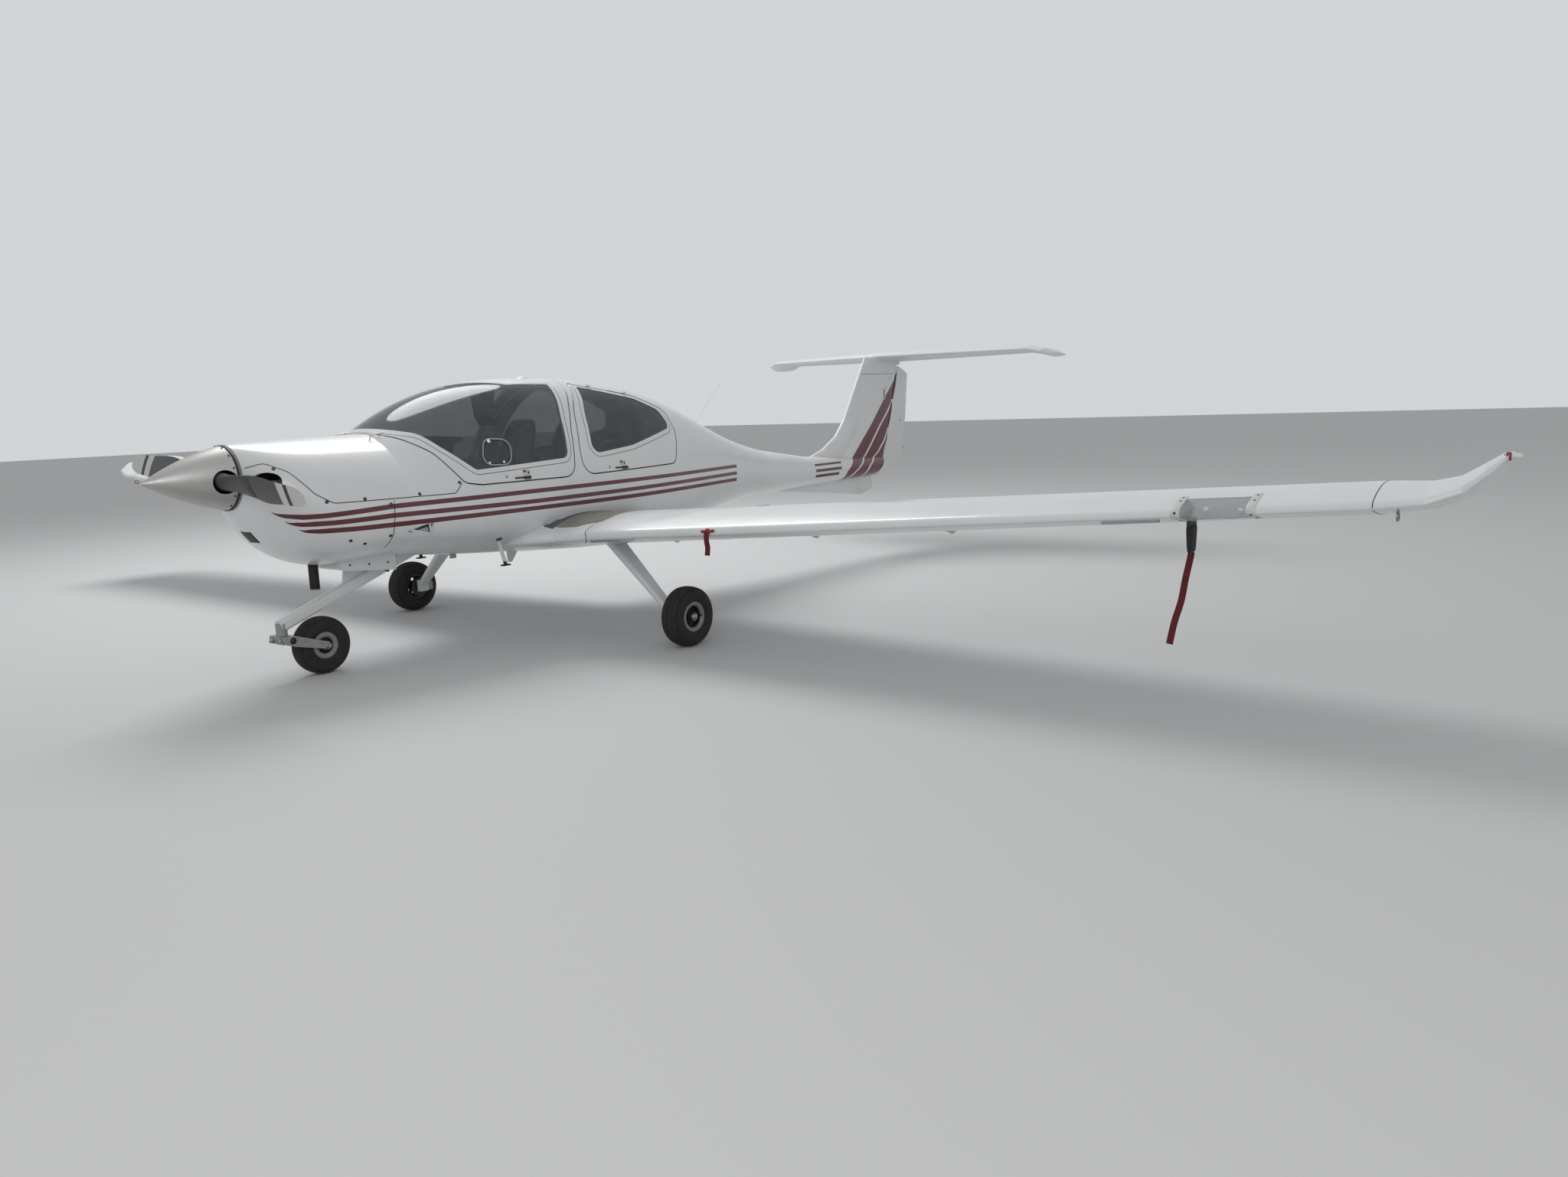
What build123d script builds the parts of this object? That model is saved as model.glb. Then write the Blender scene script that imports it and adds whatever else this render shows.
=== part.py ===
from build123d import *
from math import cos, hypot, radians, sin, sqrt, tan
import os

# A four-seat light aircraft: low tapered wing with upturned tips, T tail, nose wheel that trails
# on a fork, two-bladed propeller, forward-tilting canopy and one upward-opening rear door.
# Millimetres. X runs aft from the spinner's tip as a station, Y to starboard, Z up from the floor.
# At export everything moves forward by half the length, so that the origin is under the middle.

# Driving dimensions of the whole
LENGTH = 8010.0            # spinner's tip to the elevator's trailing edge
SPAN = 11940.0             # over both upturned tips
NOSE_AXLE_X = 944.0
WHEELBASE = 1680.0
TRACK = 2940.0
PROP_R = 940.0
THRUST_Z = 1217.0          # height of the propeller's axis

# Clearances
PANEL_GAP = 5.0            # round the canopy, the door and every control surface
FIT = 0.4                  # between pieces that are fixed together
PIN_FIT = 0.3              # round hinge pins and axles

# Fuselage walls
SKIN = 20.0                # shell, panels and doors
PANE = 8.0                 # glazing
FIREWALL_X = 1330.0
FIREWALL_T = 6.0
FIREWALL_JOINT_Z = 1040.0  # below this it meets the skin, above it clears the cowl and the canopy
REAR_WALL_X = 4080.0
REAR_WALL_T = 15.0
LOWER_COWL_REAR = 1180.0
NOSE_WALL_X = 492.0        # the cowl's front wall ends here
BOOM_END_WALL_X = 7060.0   # and the boom is closed from here on
COWL_REAR = 1730.0         # aft of the cowl's last point
NOSE_REACH = 700.0         # aft of the cowl's front wall, ahead of the engine
SHAFT_GAP = 30.0           # round the propeller's shaft, in the cowl
BEYOND = 2500.0            # outside every part of the fuselage, for cutting blocks
RUDDER_BRACKET = (7050, 7190, 20, 772, 788)   # front, rear, half width, bottom, top

# Fuselage sections, each of six tangent arcs
# station, half width, top, widest height, bottom
COWL_SECTIONS = [
    (472, 188, 1402, 1217, 1032),
    (520, 255, 1405, 1185, 945),
    (620, 355, 1409, 1130, 815),
    (850, 470, 1416, 1010, 682),
    (1080, 525, 1421, 940, 660),
    (1310, 548, 1426, 910, 672),
]
CABIN_SECTIONS = [
    (1310, 548, 1426, 910, 672),
    (1560, 568, 1573, 900, 648),
    (1900, 582, 1692, 885, 612),
    (2500, 585, 1755, 870, 567),
    (3100, 560, 1736, 880, 555),
    (3700, 475, 1640, 900, 575),
    (4300, 345, 1425, 920, 640),
    (4750, 255, 1245, 925, 709),
    (5200, 200, 1122, 915, 735),
]
BOOM_SECTIONS = [
    (5200, 200, 1122, 915, 735),
    (5900, 150, 1022, 885, 750),
    (7200, 92, 962, 875, 785),
]
CROWN_ANGLE = 35.0         # turn of each upper side before it meets the crown
CHINE_ANGLE = 60.0         # turn of each lower corner before it meets the belly

# Outlines in side view: station, height, corner radius
CANOPY_OUTLINE = [
    (1296, 1446, 4), (1400, 1396, 150), (1530, 1300, 200), (1680, 1108, 90), (1800, 1090, 60),
    (2560, 1090, 100), (2640, 1400, 500), (2730, 1580, 400), (2900, 1830, 10), (1296, 1830, 10),
]
GLASS_OUTLINE = [
    (1352, 1458, 4), (1500, 1418, 100), (1590, 1330, 200), (1780, 1178, 60), (2540, 1212, 60),
    (2600, 1480, 400), (2690, 1720, 30), (2690, 1830, 10), (1352, 1830, 10),
]
DOOR_OUTLINE = [
    (2900, 1706, 30), (2750, 1530, 400), (2664, 1250, 300), (2664, 1092, 90), (3670, 1108, 80),
    (3790, 1330, 150), (3775, 1500, 80), (3480, 1610, 300),
]
DOOR_GLASS_OUTLINE = [
    (2935, 1688, 20), (2835, 1500, 400), (2772, 1222, 60), (3200, 1262, 400), (3745, 1372, 50),
    (3690, 1505, 80), (3470, 1592, 300),
]
COWL_SPLIT = [
    (460, 1262, 4), (560, 1292, 40), (650, 1240, 60), (745, 1110, 60), (835, 1050, 60),
    (1600, 1046, 40), (1676, 1126, 4), (1676, 1800, 10), (460, 1800, 10),
]
# Roof band between the panes in plan: station, half width
ROOF_BAND = [(1990, 0), (2350, 190), (2760, 205)]

# Wing: starboard side, mirrored to port
WING_LE_X = 2255.0         # leading edge at the centre plane
WING_LE_Z = 655.0
WING_SWEEP = 0.0177        # aft per unit of span
DIHEDRAL = 3.8
INCIDENCE = 2.5
ROOT_CHORD = 1420.0        # at the centre plane
TIP_CHORD = 880.0          # at the tip joint
TIP_JOINT_Y = 5500.0
# Fairing at the root: distance out, leading edge ahead of the wing's own line
ROOT_STATIONS = [(110, 230), (520, 150), (700, 55), (950, 0)]
WING_UPPER = 0.112         # bulge of the aerofoil above and below its chord line
WING_LOWER = 0.048
WING_CREST = 0.35
WING_NOSE = 0.32           # nose radius as a share of each bulge
TRAILING_EDGE = 0.004
FLAP_INNER_Y = 640.0
FLAP_OUTER_Y = 3260.0
FLAP_HINGE = 0.745         # share of the chord
AILERON_INNER_Y = 3330.0
AILERON_OUTER_Y = 5360.0
AILERON_HINGE = 0.79
AILERON_UP = 25.0
HINGE_PIN_R = 5.0
HINGE_PIN_REACH = 30.0
FLAP_PIVOT_DROP = 42.0     # below the flap's front lower edge
FLAP_PIVOT_AHEAD = 10.0
FLAP_BRACKETS = [820.0, 2100.0, 3120.0]
BRACKET_T = 8.0
BRACKET_EYE_R = 16.0
TIP_LIGHT_L = 90.0         # coloured lens on the end of the upturned tip
TIP_LIGHT_R = 19.0
STROBE_L = 36.0            # clear lens outboard of it
STROBE_R = 13.0
TIP_REACH = SPAN / 2 - TIP_JOINT_Y - STROBE_L - STROBE_R
# Upturned tip: share of its reach, rise, chord, leading edge aft of the joint's, cant, thickness share
TIP_STATIONS = [
    (0, 0, 880, 0, 0, 1.0),
    (0.45, 20, 862, 4, 12, 0.85),
    (0.74, 66, 790, 26, 30, 0.75),
    (0.91, 130, 620, 130, 44, 0.72),
    (1.0, 182, 300, 400, 56, 0.8),
]

# Tail
STAB_Z = 1940.0
STAB_HALF = 1645.0
STAB_CAP_Y = 1490.0        # the elevator ends here, inside the drooped caps
STAB_ROOT_LE = 7100.0
STAB_TIP_LE = 7470.0
STAB_THICK = 0.11
STAB_CREST = 0.32
CAP_DROOP = 55.0
ELEVATOR_HINGE_X = 7790.0
ELEVATOR_UP = 15.5
TAB_HALF = 420.0           # trim tab at the elevator's trailing edge
TAB_HINGE_X = 7930.0
FIN_BASE_Z = 760.0
FIN_TOP_Z = 1925.0
FIN_LE_AT_BASE = 6184.0
FIN_LE_AT_TOP = 6950.0
FIN_TE_AT_BASE = 7618.0
FIN_TE_AT_TOP = 7763.0
FIN_THICK_BASE = 0.095
FIN_THICK_TOP = 0.105
RUDDER_HINGE = [(7150.0, 790.0), (7517.0, 1855.0)]
RUDDER_OUTLINE = [(7340, 800, 30), (7587, 962, 60), (7690, 1338, 600), (7745, 1776, 20), (7540, 1848, 10),
                  (7100, 1848, 10), (6900, 800, 10)]
RUDDER_SWING = 28.0
RUDDER_SIDE = 52.0         # the most that it is to either side of the hinge line
FIN_CAP_Z = 1862.0         # above the rudder the fin runs on to carry the stabiliser
FIN_CAP_X = 7560.0
# Dorsal fillet, level sections: height, leading edge, trailing edge, thickness
DORSAL_SECTIONS = [
    (975, 5860, 6960, 92), (1075, 6200, 6980, 98), (1190, 6420, 7000, 104), (1340, 6566, 7030, 104),
]
VENTRAL = [(5560, 730), (6820, 602), (7020, 650), (7000, 800), (5560, 800)]
VENTRAL_T = 30.0

# Landing gear
NOSE_TYRE_R = 175.0
NOSE_TYRE_W = 125.0
NOSE_RIM_R = 78.0
MAIN_TYRE_R = 193.0
MAIN_TYRE_W = 155.0
MAIN_RIM_R = 92.0
NOSE_HUB_HALF = 58.0
MAIN_HUB_IN = 100.0        # the brake disc is on this end of the hub
MAIN_HUB_OUT = 62.0
HUB_R = 30.0
AXLE_R = 12.0
BRAKE_R = 74.0
BRAKE_DISC_T = 7.0
CASTER_X = 702.0
CASTER_Z = 272.0           # foot of the leg's caster housing
CASTER_TOP_Z = 345.0
CASTER_R = 32.0
FORK_ARM_T = 12.0
TYRE_SIDE_GAP = 8.0
LEG_TOP = (1720.0, 702.0)  # station and height, inside the belly
LEG_FOOT = (690.0, 328.0)
LEG_W = 62.0
LEG_H = 74.0
GUSSET = [(1120, 500), (1290, 556), (1250, 612), (1140, 640)]
GUSSET_T = 14.0
MAIN_LEG_ROOT = (790.0, 700.0)   # distance from the centre plane and height, inside the wing
MAIN_LEG_FOOT = (1336.0, 214.0)
MAIN_LEG_SIZES = [(150, 56), (78, 40)]   # along X and across, at root and foot
LEG_SHOE_Z = 250.0
LEG_SHOE_OUT = 14.0

# Propeller and engine
SPINNER_L = 460.0
SPINNER_R = 184.0
SPINNER_WALL = 3.0
SPINNER_BULGE = 0.62       # radius at mid length, as a share of the base
BLADE_X = 388.0
BLADE_HOLE_R = 66.0
HUB_HALF_L = 48.0
SHAFT_R = 34.0
PROP_REST_TILT = 5.5      # as parked, starboard blade up
# Blade sections: share of the radius, chord, thickness, pitch
BLADE_STATIONS = [
    (0.045, 84, 60, 50), (0.20, 104, 40, 44), (0.42, 146, 24, 31), (0.68, 146, 14, 22),
    (0.88, 118, 9, 18), (0.97, 84, 6, 17), (1.0, 44, 4, 17),
]
ENGINE = (760, 1150, 520, 900, 1240)    # front, rear, width, bottom, top
INLET = (275.0, 1178.0, 66.0)           # distance out, height, radius
OUTLET_BOX = (1010, 1385, 185)          # front, rear, half width
OUTLET_Z = (628.0, 586.0)               # bottom at the front and at the rear
OUTLET_WALL = 6.0
EXHAUST_X = 940.0
EXHAUST_R = 29.0
EXHAUST_FOOT_Z = 512.0
EXHAUST_GAP = 8.0
EXHAUST_WALL = 2.5

# Cabin
FLOOR_Z = 712.0
FLOOR_T = 12.0
FLOOR_ENDS = (1345, 4060)
CABIN_CLEAR = 12.0         # furniture stays this far inside the skin
SEAT_Y = 275.0
SEAT_W = 440.0
FRONT_SEAT = [
    (2130, FLOOR_Z), (2150, 845), (2560, 800), (2790, 1440), (2840, 1500), (2900, 1480), (2880, 1400),
    (2680, FLOOR_Z),
]
REAR_SEAT = [
    (3130, FLOOR_Z), (3150, 860), (3480, 820), (3640, 1300), (3690, 1330), (3740, 1310), (3600, FLOOR_Z),
]
REAR_SEAT_W = 980.0
PANEL_PROFILE = [
    (1500, FLOOR_Z), (1500, 1300), (1480, 1365), (1560, 1400), (1780, 1385), (1790, 1365), (1700, 1340),
    (1640, 960), (1600, 940), (1600, FLOOR_Z),
]
STICK_X = 2080.0
STICK_TOP_Z = 1040.0

# Small outside fittings
LENS_Y = (4700.0, 5030.0)
LENS_DEPTH = 105.0
LENS_T = 4.0
LAMP_PLATE_T = 4.0
LAMP_R = 26.0
LAMP_L = 30.0
PITOT_Y = 4715.0
PITOT = [(2478, 960), (2590, 960), (2566, 786), (2502, 780)]
PITOT_T = 14.0
# Flush inlet in the side: station, distance out and height of its point and of its rear corners
SCOOP_CORNERS = [(1262, 534, 866), (1424, 553, 893), (1424, 533, 826)]
SCOOP_DEPTH = 15.0
EYE_Y = 5585.0
EYE_SHARE = 0.08           # of the chord
EYE_R = 16.0
EYE_WIRE = 4.0             # half the ring's thickness
EYE_SHANK = 8.0              # from the wing's surface into the ring
STEP_FOOT = (2016.0, 455.0, 552.0)      # station, distance out and height of the step's foot
STEP_TUBE_R = 12.0
STEP_PAD = (62.0, 30.0, 9.0)
DOME_X = 2650.0
DOME_SIZE = (52.0, 34.0, 13.0)          # half length, half width, height
DOME_SINK = 8.0                         # of its edge below the roof's crown
WHIP_FOOT = (4408.0, 1387.0)            # station and height
WHIP_FOOT_R = 11.0
WHIP_SINK = 14.0
WHIP_R = 2.5
WHIP_TOP = (4768.0, 1712.0)
BELLY_BLADE = [(2394, 620), (2496, 620), (2496, 572), (2434, 490), (2404, 492)]
BELLY_BLADE_T = 12.0
CANOPY_AXIS = (1292.0, 1420.0)          # station and height
DOOR_AXIS = [(2930.0, -212.0, 1713.0), (3500.0, -238.0, 1621.0)]
# Hinge lugs: feet beside the axis, on the fixed and on the moving piece
LUG_W = 12.0
LUG_R = 8.0
STALK_R = 5.0
LUG_PIN_R = 4.0
CANOPY_LUG_Y = 170.0
CANOPY_FEET = [(-6, 0, -34), (110, 0, 17)]
DOOR_LUG_SHARES = [0.2, 0.8]
DOOR_CORNER_X = (2800.0, 2915.0)        # where the opening is wider than the door
DOOR_CORNER_Z = (1570.0, 1730.0)
DOOR_CORNER_GAP = 11.0
DOOR_FEET = [(0, 34, -2), (0, -17, -26)]


def quarter(half, rise, turn):
    """Two tangent arcs from (half, 0) to (0, rise) that meet after turn: both radii, the joint."""
    k, c, s = tan(radians(turn) / 2), cos(radians(turn)), sin(radians(turn))
    end = (half - k * rise) / (c - k * (1 - s))
    side = (rise - end * (1 - s)) / s
    return side, end, (half - side + side * c, side * s)


def side_arc(start, end, centre):
    """The shorter arc about centre from start to end."""
    (x0, y0), (x1, y1), (cx, cy) = start, end, centre
    radius = hypot(x0 - cx, y0 - cy)
    mx, my = (x0 + x1) / 2 - cx, (y0 + y1) / 2 - cy
    k = radius / hypot(mx, my)
    return ThreePointArc(start, (cx + k * mx, cy + k * my), end)


def section(station, half, top, wide, bottom, inset=0.0):
    """One fuselage section, moved inwards by inset."""
    half, up, down = half - inset, top - inset - wide, wide - bottom - inset
    upper, _, (sx, sy) = quarter(half, up, CROWN_ANGLE)
    lower, _, (cx, cy) = quarter(half, down, CHINE_ANGLE)
    with BuildSketch(Plane(origin=(station, 0, wide), x_dir=(0, 1, 0), z_dir=(1, 0, 0))) as sk:
        with BuildLine():
            ThreePointArc((-sx, sy), (0, up), (sx, sy))
            side_arc((sx, sy), (half, 0), (half - upper, 0))
            side_arc((half, 0), (cx, -cy), (half - lower, 0))
            ThreePointArc((cx, -cy), (0, -down), (-cx, -cy))
            side_arc((-cx, -cy), (-half, 0), (lower - half, 0))
            side_arc((-half, 0), (-sx, sy), (upper - half, 0))
        make_face()
    return sk.sketch


def fuselage_form(inset=0.0):
    """The fuselage from the spinner's ring to the rudder, as one solid, moved inwards by inset."""
    cowl = loft([section(*row, inset=inset) for row in COWL_SECTIONS])
    cabin = loft([section(*row, inset=inset) for row in CABIN_SECTIONS])
    boom = loft([section(*row, inset=inset) for row in BOOM_SECTIONS], ruled=True)
    return cowl + cabin + boom


def side_outline(rows):
    """A closed outline in side view from rows of station, height and corner radius."""
    with BuildSketch(Plane(origin=(0, 0, 0), x_dir=(1, 0, 0), z_dir=(0, -1, 0))) as sk:
        with BuildLine():
            FilletPolyline(*[(x, z) for x, z, _ in rows], radius=[r for *_, r in rows], close=True)
        make_face()
    return sk.sketch


def through(outline, grow=0.0, left=900.0, right=900.0):
    """The outline, grown, as a block from left of the centre plane to right of it."""
    face = offset(outline, amount=grow) if grow else outline
    return extrude(Pos(0, right, 0) * face, amount=left + right)


def slab(x0, x1, y0, y1, z0, z1):
    """A plain block between two corners."""
    return Pos((x0 + x1) / 2, (y0 + y1) / 2, (z0 + z1) / 2) * Box(x1 - x0, y1 - y0, z1 - z0)


def tube_between(start, end, radius):
    """A round bar from start to end."""
    path = Vector(*end) - Vector(*start)
    return extrude(Plane(origin=start, z_dir=path) * Circle(radius), amount=path.length)


def polygon(plane, points):
    """A straight-sided face on a plane."""
    with BuildSketch(plane) as sk:
        with BuildLine():
            Polyline(*points, close=True)
        make_face()
    return sk.sketch


SIDE = Plane(origin=(0, 0, 0), x_dir=(1, 0, 0), z_dir=(0, -1, 0))


def solids_of(shape):
    """The shape's solids, largest first."""
    return sorted(shape.solids(), key=lambda solid: -solid.volume)


# Wing geometry
def aerofoil_reach(share, bulge):
    """Distance of one surface from the chord line at a share of the chord, behind the crest."""
    run, fall = 1 - WING_CREST, bulge - TRAILING_EDGE / 2
    radius = (run * run + fall * fall) / (2 * fall)
    return bulge - radius + sqrt(radius ** 2 - (share - WING_CREST) ** 2)


def aerofoil(plane, chord, upper, lower, crest=WING_CREST, nose=WING_NOSE):
    """An aerofoil on a plane whose x runs aft from the leading edge and whose y runs up."""
    xm, te = crest * chord, TRAILING_EDGE * chord / 2
    with BuildSketch(plane) as sk:
        with BuildLine():
            surface_arcs(1, xm, upper * chord, chord, te, nose * upper * chord)
            Line((chord, te), (chord, -te))
            surface_arcs(-1, xm, lower * chord, chord, te, nose * lower * chord)
        make_face()
    return sk.sketch


def surface_arcs(way, xm, bulge, chord, te, nose):
    """Nose, front and rear arc of one surface, above (way 1) or below (way -1) the chord line."""
    front = ((xm - nose) ** 2 + bulge ** 2 - nose ** 2) / (2 * (bulge - nose))
    rear = ((chord - xm) ** 2 + (bulge - te) ** 2) / (2 * (bulge - te))
    share = nose / (front - nose)
    joint, top = (xm - (xm - nose) * (1 + share), way * share * (front - bulge)), (xm, way * bulge)
    side_arc((0, 0), joint, (nose, 0))
    side_arc(joint, top, (xm, way * (bulge - front)))
    side_arc(top, (chord, way * te), (xm, way * (bulge - rear)))


def chord_at(y):
    """Wing chord at a distance from the centre plane."""
    return ROOT_CHORD + (TIP_CHORD - ROOT_CHORD) * y / TIP_JOINT_Y


def chord_plane(y, aft=0.0, out=0.0, rise=0.0, cant=0.0):
    """Plane of the wing's section at y: x aft along the chord, y up, tilted outwards by cant."""
    spot = (WING_LE_X + WING_SWEEP * y + aft, y + out, WING_LE_Z + tan(radians(DIHEDRAL)) * y + rise)
    tilt, turn = radians(INCIDENCE), radians(cant)
    along = (cos(tilt), 0, -sin(tilt))
    flat_up = (sin(tilt), 0, cos(tilt))
    up = Vector(*flat_up) * cos(turn) + Vector(0, -1, 0) * sin(turn)
    return Plane(origin=spot, x_dir=along, z_dir=Vector(*along).cross(up))


def wing_point(y, share, height=0.0):
    """A point at a share of the chord and a height above the chord line, at y."""
    plane = chord_plane(y)
    return plane.origin + plane.x_dir * (share * chord_at(y)) + plane.y_dir * height


def hinge_plane(start, end):
    """Plane at start whose normal runs to end and whose x runs aft: a hinge line's own frame."""
    way = (end - start).normalized()
    aft = (Vector(1, 0, 0) - way * way.X).normalized()
    return Plane(origin=start, x_dir=aft, z_dir=way)


def hinge_region(start, end, radii, ahead, overrun, reach=500.0, tall=300.0):
    """Everything aft of ahead of a hinge line, with a cone about the line, longer by overrun."""
    frame = hinge_plane(start, end)
    span = (end - start).length
    slope = (radii[1] - radii[0]) / span
    near = frame.offset(-overrun) * Circle(radii[0] - slope * overrun)
    far = frame.offset(span + overrun) * Circle(radii[1] + slope * overrun)
    block = frame.offset(-overrun) * Pos((reach + ahead) / 2, 0) * Rectangle(reach - ahead, tall)
    return loft([near, far], ruled=True) + extrude(block, amount=span + 2 * overrun)


def hinge_pins(start, end, overrun):
    """Round pins that stand out of both end walls of a bay into the surface that turns there."""
    frame = hinge_plane(start, end)
    span = (end - start).length
    pin = Circle(HINGE_PIN_R)
    near = extrude(frame.offset(-overrun - HINGE_PIN_REACH) * pin, amount=overrun + 2 * HINGE_PIN_REACH)
    far = extrude(frame.offset(span - HINGE_PIN_REACH) * pin, amount=overrun + 2 * HINGE_PIN_REACH)
    return near, far


def hinge_bores(start, end):
    """Bores for those pins in the ends of the surface."""
    frame = hinge_plane(start, end)
    span = (end - start).length
    bore = Circle(HINGE_PIN_R + PIN_FIT)
    depth = HINGE_PIN_REACH + 2 * PIN_FIT
    return extrude(frame * bore, amount=depth) + extrude(frame.offset(span - depth) * bore, amount=depth)


def wing_form():
    """The whole starboard wing out to the tip joint, with its surfaces still in it."""
    faces = []
    for y, ahead in [*ROOT_STATIONS, (TIP_JOINT_Y, 0)]:
        faces.append(aerofoil(chord_plane(y, -ahead), chord_at(y) + ahead, WING_UPPER, WING_LOWER))
    return loft(faces, ruled=True)


def tip_form():
    """The upturned tip."""
    faces = []
    for share, rise, chord, aft, cant, thickness in TIP_STATIONS:
        plane = chord_plane(TIP_JOINT_Y, aft, share * TIP_REACH, rise, cant)
        faces.append(aerofoil(plane, chord, WING_UPPER * thickness, WING_LOWER * thickness))
    return loft(faces, ruled=True)


def aileron_line():
    """Ends of the aileron's hinge line, midway between the surfaces, and half the thickness there."""
    ends, radii = [], []
    for y in (AILERON_INNER_Y, AILERON_OUTER_Y):
        above = aerofoil_reach(AILERON_HINGE, WING_UPPER) * chord_at(y)
        below = aerofoil_reach(AILERON_HINGE, WING_LOWER) * chord_at(y)
        ends.append(wing_point(y, AILERON_HINGE, (above - below) / 2))
        radii.append((above + below) / 2)
    return ends, radii


def flap_line():
    """Ends of the flap's front wall, on the wing's lower surface."""
    ends = []
    for y in (FLAP_INNER_Y, FLAP_OUTER_Y):
        ends.append(wing_point(y, FLAP_HINGE, -aerofoil_reach(FLAP_HINGE, WING_LOWER) * chord_at(y)))
    return ends


def flap_pivot(start, end):
    """The flap's own axis, below and ahead of its front wall."""
    frame = hinge_plane(start, end)
    shift = frame.x_dir * -FLAP_PIVOT_AHEAD + Vector(0, 0, -FLAP_PIVOT_DROP)
    return start + shift, end + shift


def surfaces(wing):
    """Wing, flap and aileron cut from the wing's form, with hinge plates and pins."""
    (a0, a1), radii = aileron_line()
    lip = max(radii) * tan(radians(AILERON_UP) / 2) + PANEL_GAP
    gap = PANEL_GAP + 3
    bay = hinge_region(a0, a1, [r + PANEL_GAP for r in radii], -lip, gap)
    aileron = wing & hinge_region(a0, a1, radii, 0, 0)
    aileron -= hinge_bores(a0, a1)
    f0, f1 = flap_line()
    flap_bay = hinge_region(f0, f1, [1, 1], -PANEL_GAP, gap)
    flap = wing & hinge_region(f0, f1, [1, 1], 0, 0)
    flap = solids_of(flap)[0]
    wing = wing - bay - flap_bay
    for pin in hinge_pins(a0, a1, gap):
        wing += pin
    p0, p1 = flap_pivot(f0, f1)
    for y in FLAP_BRACKETS:
        share = (y - FLAP_INNER_Y) / (FLAP_OUTER_Y - FLAP_INNER_Y)
        frame = hinge_plane(p0 + (p1 - p0) * share, p1)
        wing += bracket_plate(frame, -1, 0) + hinge_pin_at(frame)
        flap += bracket_plate(frame, 1, BRACKET_T + 0.5)
    return wing, flap, aileron


def bracket_plate(frame, way, along):
    """A hinge plate whose eye is on the axis; it runs ahead (way -1) or aft (way 1) and up."""
    y_up = -1 if frame.y_dir.Z < 0 else 1
    run = FLAP_PIVOT_DROP + 8
    points = [(0, -y_up * BRACKET_EYE_R), (way * 110, y_up * 24), (way * 150, y_up * run),
              (way * 14, y_up * run), (-way * BRACKET_EYE_R * 0.9, 0)]
    with BuildSketch(frame.offset(along)) as sk:
        with BuildLine():
            Polyline(*points, close=True)
        make_face()
        Circle(BRACKET_EYE_R)
        if way > 0:
            Circle(HINGE_PIN_R + PIN_FIT, mode=Mode.SUBTRACT)
    return extrude(sk.sketch, amount=BRACKET_T)


def hinge_pin_at(frame):
    """The pin through both plates of a flap bracket."""
    return extrude(frame.offset(BRACKET_T / 2) * Circle(HINGE_PIN_R), amount=2 * BRACKET_T)


# Tail
def stab_le(y):
    """Station of the stabiliser's leading edge at y."""
    return STAB_ROOT_LE + (STAB_TIP_LE - STAB_ROOT_LE) * abs(y) / STAB_HALF


def stab_face(y, shrink=1.0, drop=0.0):
    """The stabiliser's section at y, shrunk towards its trailing edge and lowered for the caps."""
    chord = (LENGTH - stab_le(y)) * shrink
    half = STAB_THICK / 2
    plane = Plane(origin=(LENGTH - chord, y, STAB_Z - drop), x_dir=(1, 0, 0), z_dir=(0, -1, 0))
    return aerofoil(plane, chord, half, half, STAB_CREST)


def tailplane():
    """Stabiliser with its drooped caps, elevator and trim tab."""
    half = loft([stab_face(0), stab_face(STAB_CAP_Y)], ruled=True)
    cap_rows = [(STAB_CAP_Y, 1.0, 0), (STAB_HALF - 45, 0.93, CAP_DROOP * 0.5), (STAB_HALF, 0.74, CAP_DROOP)]
    cap = loft([stab_face(y, shrink, drop) for y, shrink, drop in cap_rows], ruled=True)
    half_form = half + cap
    form = half_form + mirror(half_form, about=Plane.XZ)
    radius = (LENGTH - stab_le(STAB_CAP_Y)) * STAB_THICK / 2 * 0.72
    start, end = Vector(ELEVATOR_HINGE_X, -STAB_CAP_Y, STAB_Z), Vector(ELEVATOR_HINGE_X, STAB_CAP_Y, STAB_Z)
    lip = radius * tan(radians(ELEVATOR_UP) / 2) + PANEL_GAP
    bay = hinge_region(start, end, [radius + PANEL_GAP] * 2, -lip, 0)
    inset = Vector(0, PANEL_GAP, 0)
    elevator = form & hinge_region(start + inset, end - inset, [radius] * 2, 0, 0)
    elevator -= hinge_bores(start + inset, end - inset)
    stabiliser = form - bay
    for pin in hinge_pins(start, end, 0):
        stabiliser += pin
    tab_start = Vector(TAB_HINGE_X, -TAB_HALF, STAB_Z)
    tab_end = Vector(TAB_HINGE_X, TAB_HALF, STAB_Z)
    tab_radius = 5.5
    slot = hinge_region(tab_start, tab_end, [tab_radius + FIT] * 2, -3, PANEL_GAP)
    tab = elevator & hinge_region(tab_start, tab_end, [tab_radius] * 2, 0, 0)
    elevator -= slot
    return stabiliser, elevator, tab


def fin_edge(base, top, z):
    """Station of the fin's leading or trailing edge at height z."""
    return base + (top - base) * (z - FIN_BASE_Z) / (FIN_TOP_Z - FIN_BASE_Z)


def fin_form():
    """Fin and rudder as one tapered aerofoil."""
    faces = []
    for z, share in ((FIN_BASE_Z, FIN_THICK_BASE), (FIN_TOP_Z, FIN_THICK_TOP)):
        le, te = fin_edge(FIN_LE_AT_BASE, FIN_LE_AT_TOP, z), fin_edge(FIN_TE_AT_BASE, FIN_TE_AT_TOP, z)
        plane = Plane(origin=(le, 0, z), x_dir=(1, 0, 0), z_dir=(0, 0, 1))
        faces.append(aerofoil(plane, te - le, share / 2, share / 2, STAB_CREST))
    return loft(faces, ruled=True)


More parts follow.
